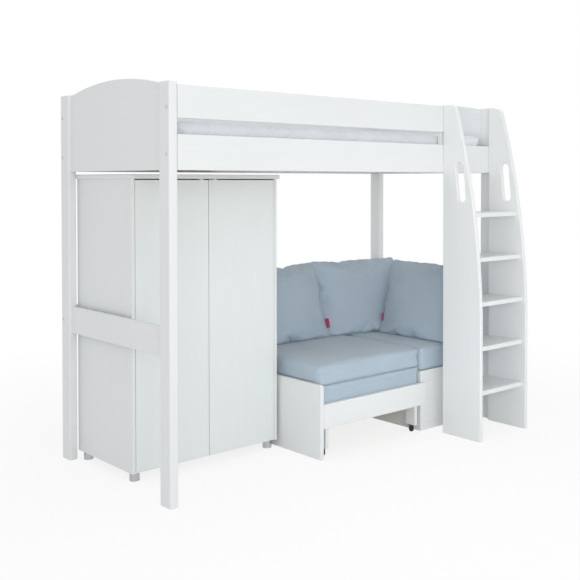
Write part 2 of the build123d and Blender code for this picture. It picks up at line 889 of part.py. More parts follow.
with BuildPart() as hinge_arms:
    arm_front_y = door_back_y + hinge_flange_thickness + running_gap
    plate_front_y = arm_front_y + hinge_plate_setback
    for wall_x, inward in ((wardrobe_inner_left, 1), (wardrobe_inner_right, -1)):
        plate_face_x = wall_x + inward * hinge_plate_thickness
        for height in hinge_heights:
            board(
                span(wall_x, plate_face_x),
                (plate_front_y, plate_front_y + hinge_plate_width),
                (height - hinge_plate_length / 2, height + hinge_plate_length / 2),
            )
            board(
                span(plate_face_x, plate_face_x + inward * hinge_arm_height),
                (arm_front_y, arm_front_y + hinge_arm_length),
                (height - hinge_arm_width / 2, height + hinge_arm_width / 2),
            )
            board(
                span(plate_face_x, wall_x + inward * hinge_nose_reach),
                (arm_front_y, arm_front_y + hinge_nose_length),
                (height - hinge_arm_width / 2, height + hinge_arm_width / 2),
            )
save(hinge_arms.part, "hinge_arms")

# Push latches: a housing under the top for each door, with a sprung plunger
latch_x = {"left": wardrobe_middle_x - latch_offset, "right": wardrobe_middle_x + latch_offset}
plunger_height = wardrobe_side_top - plunger_drop
plunger_front_y = door_back_y + running_gap
latch_bore = plunger_front_y + plunger_length + plunger_travel + running_gap - latch_front_y

with BuildPart() as latch_housings:
    for x in latch_x.values():
        board(
            (x - latch_width / 2, x + latch_width / 2),
            (latch_front_y, latch_front_y + latch_length),
            (wardrobe_side_top - latch_height, wardrobe_side_top),
        )
        rods(
            across(latch_front_y),
            [(x, plunger_height)],
            plunger_radius + running_gap,
            -latch_bore,
            Mode.SUBTRACT,
        )
save(latch_housings.part, "latch_housings")

for name, x in latch_x.items():
    with BuildPart() as plunger:
        rods(across(plunger_front_y), [(x, plunger_height)], plunger_radius, -plunger_length)
        chamfer(plunger.edges().group_by(Axis.Y)[0], fine_edge_radius)
    save(plunger.part, f"latch_plunger_{name}")

# Seat: end panel and rear rail
with BuildPart() as seat_end_panel:
    with BuildSketch(along(seat_x)) as panel_outline:
        with BuildLine():
            Polyline(
                (bed_front + seat_panel_front, 0),
                (seat_back_y, 0),
                (seat_back_y, seat_panel_height),
                (bed_front + seat_panel_front, seat_panel_height),
                close=True,
            )
        make_face()
        top_front = panel_outline.vertices().group_by(Axis.Y)[-1].sort_by(Axis.X)[0]
        fillet(top_front, seat_panel_corner_radius)
    extrude(amount=seat_panel_thickness)
    fillet(seat_end_panel.faces().filter_by(Axis.X).edges(), board_edge_radius)
save(seat_end_panel.part, "seat_end_panel")

with BuildPart() as seat_rear_rail:
    board(
        (seat_inner_x, box_x),
        (seat_rear_rail_y, seat_back_y),
        (deck_height - seat_rear_rail_drop, deck_height),
    )
save(seat_rear_rail.part, "seat_rear_rail")

# Fixed half of the seat's frame: side bearers, rear ledger and front bar
with BuildPart() as seat_bearers:
    for bearer_x, inward in ((seat_inner_x, 1), (box_x, -1)):
        board(
            span(bearer_x, bearer_x + inward * side_bearer_width),
            (fixed_bar_y, seat_rear_rail_y),
            (side_bearer_bottom, deck_bar_bottom),
        )
    board(
        (seat_inner_x, box_x),
        (seat_rear_rail_y - rear_ledger_depth, seat_rear_rail_y),
        (deck_bar_bottom, deck_slat_bottom),
    )
    board(
        (seat_inner_x, box_x),
        (fixed_bar_y, fixed_bar_y + deck_bar_depth),
        (deck_bar_bottom, deck_slat_bottom),
    )
save(seat_bearers.part, "seat_bearers")


# Two combs of slats that slide between each other
def deck_slats(first, y_span):
    """Add every second slat of the seat's deck, from the first index on."""
    for index in range(first, deck_slat_count, 2):
        slat_x = deck_x + index * deck_slat_pitch
        board((slat_x, slat_x + deck_slat_width), y_span, (deck_slat_bottom, deck_height))


with BuildPart() as seat_slats_fixed:
    deck_slats(1, (fixed_bar_y, seat_rear_rail_y))
save(seat_slats_fixed.part, "seat_slats_fixed")

with BuildPart() as pull_out_slats:
    deck_slats(0, (apron_back_y, moving_slat_back_y))
save(pull_out_slats.part, "pull_out_slats")

with BuildPart() as pull_out_bars:
    board(
        (seat_inner_x + apron_side_gap, box_x - apron_side_gap),
        (apron_back_y, apron_back_y + front_cleat_depth),
        (deck_bar_bottom, deck_slat_bottom),
    )
    board(
        (seat_inner_x + apron_side_gap, box_x - apron_side_gap),
        (moving_bar_y, moving_bar_y + deck_bar_depth),
        (deck_bar_bottom + running_gap, deck_slat_bottom),
    )
save(pull_out_bars.part, "pull_out_bars")

with BuildPart() as pull_out_apron:
    board(
        (seat_inner_x + apron_side_gap, box_x + apron_overlap),
        (apron_y, apron_back_y),
        (apron_bottom, apron_top),
    )
    fillet(pull_out_apron.faces().sort_by(Axis.Y)[0].edges(), board_edge_radius)
save(pull_out_apron.part, "pull_out_apron")

with BuildPart() as pull_out_legs:
    for x in caster_x:
        board(
            (x - leg_thickness / 2, x + leg_thickness / 2),
            (apron_back_y, apron_back_y + leg_depth),
            (caster_height, deck_bar_bottom - leg_top_gap),
        )
save(pull_out_legs.part, "pull_out_legs")

# Casters: a forked housing with its axle under each leg, and a wheel on the axle
fork_inside = caster_wheel_width / 2 + caster_side_gap
fork_outside = fork_inside + caster_cheek_thickness
with BuildPart() as caster_forks:
    for x in caster_x:
        board(
            (x - fork_outside, x + fork_outside),
            (caster_y - caster_plate_length / 2, caster_y + caster_plate_length / 2),
            (caster_height - caster_plate_thickness, caster_height),
        )
        for cheek_x in (x - fork_outside, x + fork_inside):
            rods(
                along(cheek_x),
                [(caster_y, caster_wheel_radius)],
                caster_cheek_radius,
                caster_cheek_thickness,
            )
            board(
                (cheek_x, cheek_x + caster_cheek_thickness),
                (caster_y - caster_cheek_radius, caster_y + caster_cheek_radius),
                (caster_wheel_radius, caster_height - caster_plate_thickness),
            )
        rods(
            along(x - fork_outside),
            [(caster_y, caster_wheel_radius)],
            caster_axle_radius,
            2 * fork_outside,
        )
save(caster_forks.part, "caster_forks")

for name, x in zip(("left", "right"), caster_x):
    with BuildPart() as wheel:
        rods(
            along(x - caster_wheel_width / 2),
            [(caster_y, caster_wheel_radius)],
            caster_wheel_radius,
            caster_wheel_width,
        )
        chamfer(wheel.edges().filter_by(GeomType.CIRCLE), fine_edge_radius)
        rods(
            along(x - caster_wheel_width / 2 - overrun),
            [(caster_y, caster_wheel_radius)],
            caster_axle_radius + caster_axle_gap,
            caster_wheel_width + 2 * overrun,
            Mode.SUBTRACT,
        )
    save(wheel.part, f"caster_wheel_{name}")

# Corner box
box_top_bottom = box_height - box_board
with BuildPart() as box_front_board:
    board((box_x, box_end_x), (box_front_y, box_front_y + box_board), (0, box_top_bottom))
    fillet(box_front_board.edges().filter_by(Axis.Z).group_by(Axis.Y)[0], board_edge_radius)
    rods(across(box_front_y), box_cap_places, box_cap_radius + bore_gap, -box_cap_depth, Mode.SUBTRACT)
save(box_front_board.part, "box_front_board")

with BuildPart() as box_walls:
    for side_x in (box_x, box_end_x - box_board):
        board(
            (side_x, side_x + box_board),
            (box_front_y + box_board, box_back_y - box_board),
            (0, box_top_bottom),
        )
    board((box_x, box_end_x), (box_back_y - box_board, box_back_y), (0, box_top_bottom))
save(box_walls.part, "box_walls")

with BuildPart() as box_top:
    board((box_x, box_end_x), (box_front_y, box_back_y), (box_top_bottom, box_height))
    fillet(box_top.faces().sort_by(Axis.Z)[-1].edges(), fine_edge_radius)
save(box_top.part, "box_top")

# Seat cushions. The base cushion is stepped: its back part is as high as the seat.
with BuildPart() as seat_cushion_base:
    cushion_block(
        (cushion_x, cushion_end_x),
        (cushion_y, base_back_y),
        (deck_height + soft_gap, base_cushion_top),
        cushion_corner_radius,
        0,
        0,
    )
    cushion_block(
        (cushion_x, cushion_end_x),
        (seat_cushion_back_y + soft_gap, base_back_y),
        (base_cushion_top - cushion_height / 2, seat_top),
        cushion_corner_radius,
        cushion_crown,
        raised_crown_run,
    )
save(seat_cushion_base.part, "seat_cushion_base")

with BuildPart() as seat_cushion_upper:
    cushion_block(
        (cushion_x, cushion_end_x),
        (cushion_y, seat_cushion_back_y),
        (base_cushion_top + soft_gap, seat_top - soft_gap),
        cushion_corner_radius,
        cushion_crown,
        cushion_crown_run,
    )
save(seat_cushion_upper.part, "seat_cushion_upper")

with BuildPart() as corner_cushion:
    cushion_block(
        (box_x + corner_cushion_left_gap, box_end_x - corner_cushion_right_gap),
        (box_front_y + corner_cushion_front_gap, box_back_y - corner_cushion_front_gap),
        (box_height + soft_gap, seat_top),
        cushion_corner_radius,
        cushion_crown,
        cushion_crown_run,
    )
save(corner_cushion.part, "corner_cushion")

# Back cushions: lens-shaped outlines, fullest below half way up, drawn in at the sides and
# pressed flat where they stand on the seat
pillow_level_shares = (-0.12, 0, 0.12, 0.3, 0.5, 0.72, 0.9, 1)
pillow_fullness_shares = (0.35, 0.66, 0.88, 1, 0.97, 0.78, 0.42, 0.1)
pillow_draw_shares = (0, 0.1, 0.5, 0.9, 1, 0.7, 0.3, 0)


def pillow_plane(x, y, turn, lean):
    """Plane across a back cushion at the seat, square to the cushion's lean."""
    turn_angle = math.radians(turn)
    lean_angle = math.radians(lean)
    return Plane(
        origin=(x, y, seat_top + soft_gap),
        x_dir=(math.cos(turn_angle), math.sin(turn_angle), 0),
        z_dir=(
            -math.sin(turn_angle) * math.sin(lean_angle),
            math.cos(turn_angle) * math.sin(lean_angle),
            math.cos(lean_angle),
        ),
    )


pillow_sets = (
    (
        "back_cushion_left",
        seat_inner_x + left_pillow_end_gap + back_pillow_width / 2,
        bed_back - left_pillow_back_inset,
        0,
        pillow_lean_angle,
        back_pillow_width,
    ),
    (
        "back_cushion_corner",
        box_end_x - corner_pillow_end_gap - back_pillow_width / 2,
        bed_back - corner_pillow_back_inset,
        corner_pillow_turn_angle,
        pillow_lean_angle,
        back_pillow_width,
    ),
    (
        "back_cushion_end",
        box_end_x - end_pillow_inset,
        box_front_y - end_pillow_front_overhang + end_pillow_width / 2,
        -90,
        end_pillow_lean_angle,
        end_pillow_width,
    ),
)
for name, x, y, turn, lean, pillow_width in pillow_sets:
    seam_plane = pillow_plane(x, y, turn, lean)
    with BuildPart() as pillow:
        for level_share, fullness_share, draw_share in zip(
            pillow_level_shares, pillow_fullness_shares, pillow_draw_shares
        ):
            half_width = pillow_width / 2 - pillow_draw * draw_share
            belly = pillow_edge / 2 + (pillow_thickness - pillow_edge) / 2 * fullness_share
            with BuildSketch(seam_plane.offset(pillow_height * level_share)):
                with BuildLine():
                    front_arc = ThreePointArc(
                        (-half_width, -pillow_edge / 2), (0, -belly), (half_width, -pillow_edge / 2)
                    )
                    back_arc = ThreePointArc(
                        (-half_width, pillow_edge / 2), (0, belly), (half_width, pillow_edge / 2)
                    )
                    Line(front_arc @ 0, back_arc @ 0)
                    Line(front_arc @ 1, back_arc @ 1)
                make_face()
        loft(ruled=True)
        split(bisect_by=Plane.XY.offset(seat_top + soft_gap), keep=Keep.TOP)
    save(pillow.part, name)
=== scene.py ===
"""Looks of a white loft bed with a ladder, a wardrobe and a pull-out corner seat under it."""

import json
import logging
import math
from collections.abc import Iterator
from contextlib import contextmanager
from dataclasses import dataclass, field
from enum import Enum

import bpy
from mathutils import Matrix, Vector, noise

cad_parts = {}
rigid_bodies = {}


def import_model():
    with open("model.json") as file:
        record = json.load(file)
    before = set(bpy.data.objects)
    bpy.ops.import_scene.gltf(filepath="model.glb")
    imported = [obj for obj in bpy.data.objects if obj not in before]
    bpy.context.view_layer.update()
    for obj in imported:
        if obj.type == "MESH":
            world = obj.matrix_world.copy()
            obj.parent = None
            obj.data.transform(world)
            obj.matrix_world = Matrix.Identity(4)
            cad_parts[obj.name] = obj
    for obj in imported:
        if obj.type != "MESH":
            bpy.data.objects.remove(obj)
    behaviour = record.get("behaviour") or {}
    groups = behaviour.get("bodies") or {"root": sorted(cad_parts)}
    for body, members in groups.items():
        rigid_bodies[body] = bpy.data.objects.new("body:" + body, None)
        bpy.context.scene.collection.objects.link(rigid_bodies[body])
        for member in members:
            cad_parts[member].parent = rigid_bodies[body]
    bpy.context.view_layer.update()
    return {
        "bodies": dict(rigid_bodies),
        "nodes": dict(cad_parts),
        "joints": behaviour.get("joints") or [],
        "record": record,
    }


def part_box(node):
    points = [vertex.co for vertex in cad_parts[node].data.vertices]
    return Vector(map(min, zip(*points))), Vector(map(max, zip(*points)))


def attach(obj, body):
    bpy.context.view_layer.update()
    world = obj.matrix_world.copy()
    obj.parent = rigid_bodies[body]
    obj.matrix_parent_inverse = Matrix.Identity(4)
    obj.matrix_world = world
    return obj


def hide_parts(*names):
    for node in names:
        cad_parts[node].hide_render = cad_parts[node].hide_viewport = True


log = logging.getLogger("loft_bed")

Pair = tuple[float, float]
Point = tuple[float, float, float]
Colour = tuple[float, float, float]
Material = bpy.types.Material
Node = bpy.types.Node
Piece = bpy.types.Object
Socket = bpy.types.NodeSocket

PURE_WHITE = (1.0, 1.0, 1.0, 1.0)


class Run(Enum):
    """How a pattern is stretched so that its streaks run along one axis."""

    ALONG_X = (0.05, 1.0, 1.0)
    ALONG_Y = (1.0, 0.05, 1.0)
    ALONG_Z = (1.0, 1.0, 0.05)
    EVEN = (1.0, 1.0, 1.0)


class Body(Enum):
    """The bodies that new pieces ride on."""

    ROOT = "root"
    DOOR_LEFT = "door_left"
    DOOR_RIGHT = "door_right"
    PULL_OUT = "pull_out"
    SEAT_UPPER = "seat_upper"


@dataclass
class Graph:
    """A shader node tree that is filled node by node."""

    tree: bpy.types.NodeTree

    def add(self, kind: str, values: dict | None = None, **settings: object) -> Node:
        """Add a node.

        Args:
            kind: The node's type name.
            values: Input sockets with a value, or with a socket to link from.
            settings: Properties of the node, set before its sockets.

        Returns:
            The new node.
        """
        node = self.tree.nodes.new(kind)
        for name, value in settings.items():
            setattr(node, name, value)
        for name, value in (values or {}).items():
            if isinstance(value, Socket):
                self.tree.links.new(value, node.inputs[name])
            else:
                node.inputs[name].default_value = value
        return node

    def join(self, source: Socket, node: Node, name: str) -> None:
        """Link an output to a named input."""
        self.tree.links.new(source, node.inputs[name])

    def math(self, operation: str, first: object, second: object = 0.0) -> Socket:
        """Add a Math node and return its output."""
        return self.add("ShaderNodeMath", {0: first, 1: second}, operation=operation).outputs[0]

    def noise(self, vector: object, scale: float, detail: float) -> Socket:
        """Add a noise texture and return its value."""
        values = {"Vector": vector, "Scale": scale, "Detail": detail}
        return self.add("ShaderNodeTexNoise", values).outputs[0]

    def remap(self, value: object, low: float, high: float) -> Socket:
        """Stretch the useful middle of a noise between two values."""
        values = {"Value": value, "From Min": 0.3, "From Max": 0.7, "To Min": low, "To Max": high}
        return self.add("ShaderNodeMapRange", values).outputs[0]

    def vary(self, value: object, change: float) -> Socket:
        """Turn a noise into a factor that lies round one."""
        return self.remap(value, 1 - change, 1 + change)

    def scale(self, vector: object, level: object) -> Socket:
        """Scale a colour or another vector by a level and return it."""
        return self.add("ShaderNodeVectorMath", {0: vector, 3: level}, operation="SCALE").outputs[0]

    def bump(self, height: Socket, shader: Node) -> None:
        """Give a shader the relief of a height in metres."""
        bump = self.add("ShaderNodeBump", {"Height": height, "Distance": 1.0})
        self.join(bump.outputs[0], shader, "Normal")


def new_group(name: str, inputs: dict[str, str], outputs: dict[str, str]) -> tuple[Graph, Node, Node]:
    """Make an empty shader node group.

    Args:
        name: The group's name.
        inputs: Input names with their socket types.
        outputs: Output names with their socket types.

    Returns:
        The group's graph, its input node and its output node.
    """
    tree = bpy.data.node_groups.new(name, "ShaderNodeTree")
    for sockets, direction in ((inputs, "INPUT"), (outputs, "OUTPUT")):
        for socket, kind in sockets.items():
            tree.interface.new_socket(name=socket, in_out=direction, socket_type="NodeSocket" + kind)
    graph = Graph(tree)
    return graph, graph.add("NodeGroupInput"), graph.add("NodeGroupOutput")


def board_group(tone_scale: float = 1.7) -> bpy.types.NodeTree:
    """Group with a board's slow change of tone, its streaks and its fine surface.

    Args:
        tone_scale: How fine the change of tone is.

    Returns:
        The node group, with the outputs Tone, Streak and Peel.
    """
    graph, given, result = new_group(
        "board_surface",
        {"Vector": "Vector", "Stretch": "Vector", "Streak Scale": "Float", "Peel Scale": "Float"},
        {"Tone": "Float", "Streak": "Float", "Peel": "Float"},
    )
    place = given.outputs["Vector"]
    stretched = graph.add(
        "ShaderNodeVectorMath", {0: place, 1: given.outputs["Stretch"]}, operation="MULTIPLY"
    ).outputs[0]
    graph.join(graph.noise(place, tone_scale, detail=3.0), result, "Tone")
    graph.join(graph.noise(stretched, given.outputs["Streak Scale"], detail=5.0), result, "Streak")
    graph.join(graph.noise(place, given.outputs["Peel Scale"], detail=1.0), result, "Peel")
    return graph.tree


def weave_group(patch_scale: float = 6.0, slub_stretch: Point = (0.6, 0.05, 1.0)) -> bpy.types.NodeTree:
    """Group for a plain weave, whose threads pass over and under each other.

    Args:
        patch_scale: How fine the cloth's uneven patches are.
        slub_stretch: How the thicker places are drawn out along the threads.

    Returns:
        The node group, with the outputs Height, Thread and Patch.
    """
    graph, given, result = new_group(
        "plain_weave",
        {"Vector": "Vector", "Threads": "Float"},
        {"Height": "Float", "Thread": "Float", "Patch": "Float"},
    )
    place = given.outputs["Vector"]
    scaled = graph.scale(place, given.outputs["Threads"])
    parts = graph.add("ShaderNodeSeparateXYZ", {0: scaled})
    profiles = []
    counts = []
    for axis in (0, 1):
        share = graph.math("FRACT", parts.outputs[axis])
        profiles.append(graph.math("SINE", graph.math("MULTIPLY", share, math.pi)))
        counts.append(graph.math("FLOOR", parts.outputs[axis]))
    parity = graph.math("PINGPONG", graph.math("ADD", counts[0], counts[1]), 1.0)
    height = graph.add("ShaderNodeMix", {0: parity, 2: profiles[0], 3: profiles[1]}).outputs[0]
    slubs = graph.add("ShaderNodeMapping", {0: scaled, 3: slub_stretch}).outputs[0]
    graph.join(height, result, "Height")
    graph.join(graph.noise(slubs, 1.0, detail=3.0), result, "Thread")
    graph.join(graph.noise(place, patch_scale, detail=3.0), result, "Patch")
    return graph.tree


@dataclass
class Effects:
    """The surface effects that several finishes share, each made once."""

    board: bpy.types.NodeTree = field(default_factory=board_group)
    weave: bpy.types.NodeTree = field(default_factory=weave_group)


def start_material(name: str, **values: float) -> tuple[Material, Graph, Node]:
    """Make a material with its surface shader.

    Args:
        name: The material's name.
        values: The shader's plain values, named as its inputs are, with low lines for spaces.

    Returns:
        The material, its graph and its shader.
    """
    material = bpy.data.materials.new(name)
    material.use_nodes = True
    graph = Graph(material.node_tree)
    shader = graph.tree.nodes["Principled BSDF"]
    for socket, value in values.items():
        shader.inputs[socket.replace("_", " ")].default_value = value
    return material, graph, shader


@dataclass(frozen=True)
class BoardFinish:
    """A finish on a hard piece: paint, foil, planed wood, metal or moulded plastic."""

    name: str
    colour: Colour
    run: Run = Run.EVEN
    metallic: float = 0.0
    roughness: float = 0.38
    roughness_change: float = 0.05
    tone_change: float = 0.015
    streak_change: float = 0.01
    streak_scale: float = 60.0
    streak_depth: float = 0.00008
    peel_scale: float = 500.0
    peel_depth: float = 0.00003
    specular: float = 0.5

    def build(self, effects: Effects) -> Material:
        """Build the material.

        Args:
            effects: The shared effects.

        Returns:
            The material.
        """
        material, graph, shader = start_material(
            self.name, Metallic=self.metallic, Specular_IOR_Level=self.specular
        )
        values = {
            "Vector": graph.add("ShaderNodeTexCoord").outputs["Object"],
            "Stretch": self.run.value,
            "Streak Scale": self.streak_scale,
            "Peel Scale": self.peel_scale,
        }
        surface = graph.add("ShaderNodeGroup", values, node_tree=effects.board).outputs
        tone = graph.vary(surface["Tone"], self.tone_change)
        streak = graph.vary(surface["Streak"], self.streak_change)
        graph.join(graph.scale(self.colour, graph.math("MULTIPLY", tone, streak)), shader, "Base Color")
        low = self.roughness - self.roughness_change
        high = self.roughness + self.roughness_change
        graph.join(graph.remap(surface["Tone"], low, high), shader, "Roughness")
        ridges = graph.math("MULTIPLY", surface["Streak"], self.streak_depth)
        grains = graph.math("MULTIPLY", surface["Peel"], self.peel_depth)
        graph.bump(graph.math("ADD", ridges, grains), shader)
        return material


@dataclass(frozen=True)
class FabricFinish:
    """A woven cover whose weave follows the piece's UV map."""

    name: str
    colour: Colour
    threads: float = 900.0
    thread_change: float = 0.06
    patch_change: float = 0.03
    weave_depth: float = 0.00012
    # Painted shade in the weave: the darkest level and its gain with the weave's height
    weave_painted_shade: Pair = (0.94, 0.1)
    roughness: float = 0.85
    specular: float = 0.25
    sheen: float = 0.25
    sheen_roughness: float = 0.5
    quilt: float = 0.0
    quilt_depth: float = 0.003

    def build(self, effects: Effects) -> Material:
        """Build the material.

        Args:
            effects: The shared effects.

        Returns:
            The material.
        """
        material, graph, shader = start_material(
            self.name,
            Roughness=self.roughness,
            Sheen_Weight=self.sheen,
            Sheen_Roughness=self.sheen_roughness,
            Specular_IOR_Level=self.specular,
        )
        place = graph.add("ShaderNodeTexCoord").outputs["UV"]
        values = {"Vector": place, "Threads": self.threads}
        weave = graph.add("ShaderNodeGroup", values, node_tree=effects.weave).outputs
        thread = graph.vary(weave["Thread"], self.thread_change)
        patch = graph.vary(weave["Patch"], self.patch_change)
        # Painted shade: the base colour is darkened where the weave lies low, between the threads
        darkest, gain = self.weave_painted_shade
        shade = graph.math("ADD", graph.math("MULTIPLY", weave["Height"], gain), darkest)
        level = graph.math("MULTIPLY", graph.math("MULTIPLY", thread, patch), shade)
        graph.join(graph.scale(self.colour, level), shader, "Base Color")
        height = graph.math("MULTIPLY", weave["Height"], self.weave_depth)
        if self.quilt:
            height = graph.math("ADD", height, self.quilted(graph, place))
        graph.bump(height, shader)
        return material

    def quilted(self, graph: Graph, place: Socket) -> Socket:
        """Height of a diamond quilting, lowest along its stitched lines."""
        parts = graph.add("ShaderNodeSeparateXYZ", {0: place})
        lines = []
        for operation in ("ADD", "SUBTRACT"):
            diagonal = graph.math(operation, parts.outputs[0], parts.outputs[1])
            wave = graph.math("SINE", graph.math("MULTIPLY", diagonal, math.pi / self.quilt))
            lines.append(graph.math("POWER", graph.math("ABSOLUTE", wave), 0.5))
        return graph.math("MULTIPLY", graph.math("MINIMUM", *lines), self.quilt_depth)


Finish = BoardFinish | FabricFinish


@dataclass
class Palette:
    """Builds each finish once and hands its material out."""

    effects: Effects = field(default_factory=Effects)
    built: dict[str, Material] = field(default_factory=dict)

    def paint(self, piece: Piece, finish: Finish) -> None:
        """Give a piece the material of a finish, and no other.

        Args:
            piece: The piece.
            finish: The finish, which is built when it is first asked for.
        """
        if finish.name not in self.built:
            self.built[finish.name] = finish.build(self.effects)
        piece.data.materials.clear()
        piece.data.materials.append(self.built[finish.name])


def lacquer(run: Run) -> BoardFinish:
    """White lacquer with streaks along a board."""
    return BoardFinish(f"white_lacquer_{run.name.lower()}", (0.765, 0.785, 0.79), run)


def planed_wood(run: Run) -> BoardFinish:
    """Bare softwood with its grain along a slat.

    Args:
        run: The direction of its grain.

    Returns:
        The finish.
    """
    return BoardFinish(
        f"planed_wood_{run.name.lower()}",
        (0.74, 0.62, 0.46),
        run,
        roughness=0.6,
        tone_change=0.06,
        streak_change=0.16,
        streak_scale=110.0,
        streak_depth=0.0003,
    )


def plastic(name: str, colour: Colour, roughness: float) -> BoardFinish:
    """Moulded plastic with a fine grain."""
    return BoardFinish(name, colour, roughness=roughness, peel_scale=2500.0)


def metal(name: str, colour: Colour, run: Run, roughness: float, streak_scale: float) -> BoardFinish:
    """Bare metal, brushed along a run."""
    return BoardFinish(name, colour, run, metallic=1.0, roughness=roughness, streak_scale=streak_scale)


DOOR_LACQUER = BoardFinish("door_lacquer", (0.76, 0.80, 0.80), Run.ALONG_Z, roughness=0.45)
ZINC = BoardFinish("zinc_steel", (0.62, 0.63, 0.66), metallic=1.0, roughness=0.32, roughness_change=0.08)
ALUMINIUM = metal("satin_aluminium", (0.50, 0.51, 0.53), Run.ALONG_Z, 0.3, 300.0)
RAIL_METAL = metal("brushed_rail", (0.68, 0.69, 0.71), Run.ALONG_X, 0.28, 400.0)
PALE_PLASTIC = plastic("pale_plastic", (0.60, 0.62, 0.63), 0.5)
# Pale plastic with painted light: lighter than the other pale plastic, so the strikers look lit in the shaded
# gap over the doors
STRIKER_PLASTIC_PAINTED_LIGHT = plastic("striker_plastic", (0.85, 0.85, 0.84), 0.35)
GREY_PLASTIC = plastic("grey_plastic", (0.12, 0.125, 0.13), 0.5)
BLACK_PLASTIC = plastic("black_plastic", (0.016, 0.016, 0.018), 0.45)
TYRE_RUBBER = BoardFinish("tyre_rubber", (0.024, 0.024, 0.026), roughness=0.6, peel_scale=1500.0)
CUSHION_FABRIC = FabricFinish("cushion_fabric", (0.408, 0.494, 0.572))
MATTRESS_FABRIC = FabricFinish("mattress_fabric", (0.70, 0.735, 0.765), threads=1400.0, sheen=0.1, quilt=0.11)
TAG_FABRIC = FabricFinish("tag_fabric", (0.40, 0.05, 0.135), threads=2500.0)
WEBBING = FabricFinish("webbing", (0.62, 0.62, 0.60), threads=700.0)


def deselect() -> None:
    """Deselect every object."""
    bpy.ops.object.select_all(action="DESELECT")


def activate(piece: Piece) -> None:
    """Select one object alone and make it active."""
    deselect()
    piece.select_set(True)
    bpy.context.view_layer.objects.active = piece


@contextmanager
def edit_mode(piece: Piece, select: bool = True) -> Iterator[None]:
    """Edit a piece's mesh and come back to object mode.

    Args:
        piece: The piece.
        select: Whether all of its mesh is selected first.

    Yields:
        Nothing, in edit mode.
    """
    activate(piece)
    bpy.ops.object.mode_set(mode="EDIT")
    if select:
        bpy.ops.mesh.select_all(action="SELECT")
    yield
    bpy.ops.object.mode_set(mode="OBJECT")


def new_object(name: str, data: bpy.types.ID) -> Piece:
    """Make an object of some data and put it in the scene."""
    piece = bpy.data.objects.new(name, data)
    bpy.context.scene.collection.objects.link(piece)
    return piece


def apply_modifier(piece: Piece, name: str) -> None:
    """Apply one modifier of a piece."""
    activate(piece)
    bpy.ops.object.modifier_apply(modifier=name)


def modify(piece: Piece, kind: str, **settings: object) -> None:
    """Shape a piece with a modifier and apply it.

    Args:
        piece: The piece.
        kind: The modifier's type.
        settings: The modifier's properties.
    """
    modifier = piece.modifiers.new(kind.lower(), kind)
    for name, value in settings.items():
        setattr(modifier, name, value)
    apply_modifier(piece, modifier.name)


def place_mesh(piece: Piece) -> None:
    """Bake an object's place into its mesh, so that it sits at the origin."""
    activate(piece)
    bpy.ops.object.transform_apply(location=True, rotation=True, scale=True)


def add_box(place: Point, size: Point) -> Piece:
    """Add a box round a place."""
    deselect()
    bpy.ops.mesh.primitive_cube_add(size=1, location=place, scale=size)
    place_mesh(bpy.context.object)
    return bpy.context.object


def add_cylinder(radius: float, depth: float, place: Point, turn: Point = (0, 0, 0)) -> Piece:
    """Add a small cylinder, along Z where it isn't turned."""
    deselect()
    bpy.ops.mesh.primitive_cylinder_add(
        vertices=20, radius=radius, depth=depth, location=place, rotation=turn
    )
    return bpy.context.object


def join_pieces(pieces: list[Piece], name: str) -> Piece:
    """Join objects into one.

    Args:
        pieces: The objects, of which the first takes in the others.
        name: The joined piece's name.

    Returns:
        The joined piece.
    """
    activate(pieces[0])
    for piece in pieces[1:]:
        piece.select_set(True)
    if len(pieces) > 1:
        bpy.ops.object.join()
    pieces[0].name = name
    return pieces[0]


def finish_cloth(piece: Piece) -> None:
    """Shade a cloth piece smooth and give it a UV map in metres, projected on each side."""
    for polygon in piece.data.polygons:
        polygon.use_smooth = True
    lay_cloth_map(piece)


def lay_cloth_map(piece: Piece) -> None:
    """Give a piece a UV map in metres, projected on each side."""
    with edit_mode(piece):
        bpy.ops.uv.cube_project(cube_size=1.0, correct_aspect=False)


@dataclass(frozen=True)
class Screw:
    """A countersunk cross-head screw, of which only the head shows."""

    radius: float = 0.0036
    height: float = 0.0009
    slot_length: float = 0.0036
    slot_width: float = 0.0008
    slot_depth: float = 0.0007
    rim_share: float = 0.35
    turn_step: float = 0.7

    def build(self) -> Piece:
        """Model one screw head, face up.

        Returns:
            The screw head, with its object's origin in its middle.
        """
        head = add_cylinder(self.radius, self.height, (0, 0, self.height / 2))
        modify(head, "BEVEL", width=self.height * self.rim_share, limit_method="ANGLE")
        for length, width in ((self.slot_length, self.slot_width), (self.slot_width, self.slot_length)):
            cutter = add_box((0, 0, self.height), (length, width, self.slot_depth * 2))
            modify(head, "BOOLEAN", operation="DIFFERENCE", object=cutter)
            bpy.data.objects.remove(cutter)
        return head

    def set_rows(self, name: str, places: list[Point], facing: Point) -> Piece:
        """Set copies of the screw at places.

        Args:
            name: The name of the set.
            places: Where each head's middle lies.
            facing: The direction that the heads face.

        Returns:
            The set of screws as one piece.
        """
        first = self.build()
        turn = Vector((0, 0, 1)).rotation_difference(Vector(facing)).to_matrix().to_4x4()
        copies = []
        for number, place in enumerate(places):
            copy = new_object(name, first.data.copy())
            own_turn = Matrix.Rotation(number * self.turn_step, 4, "Z")
            copy.matrix_world = Matrix.Translation(place) @ turn @ own_turn
            place_mesh(copy)
            copies.append(copy)
        bpy.data.objects.remove(first)
        return join_pieces(copies, name)


BEARER_SCREW = Screw(radius=0.0045)
CUP_SCREW = Screw(radius=0.0030, height=0.00028, slot_depth=0.0002)
PLATE_SCREW = Screw(radius=0.0034)
SLAT_SCREW = Screw(radius=0.0042, height=0.00025, slot_length=0.005, slot_width=0.001, slot_depth=0.0002)
BACK_NAIL = Screw(radius=0.0030, height=0.0006, slot_depth=0.00015)


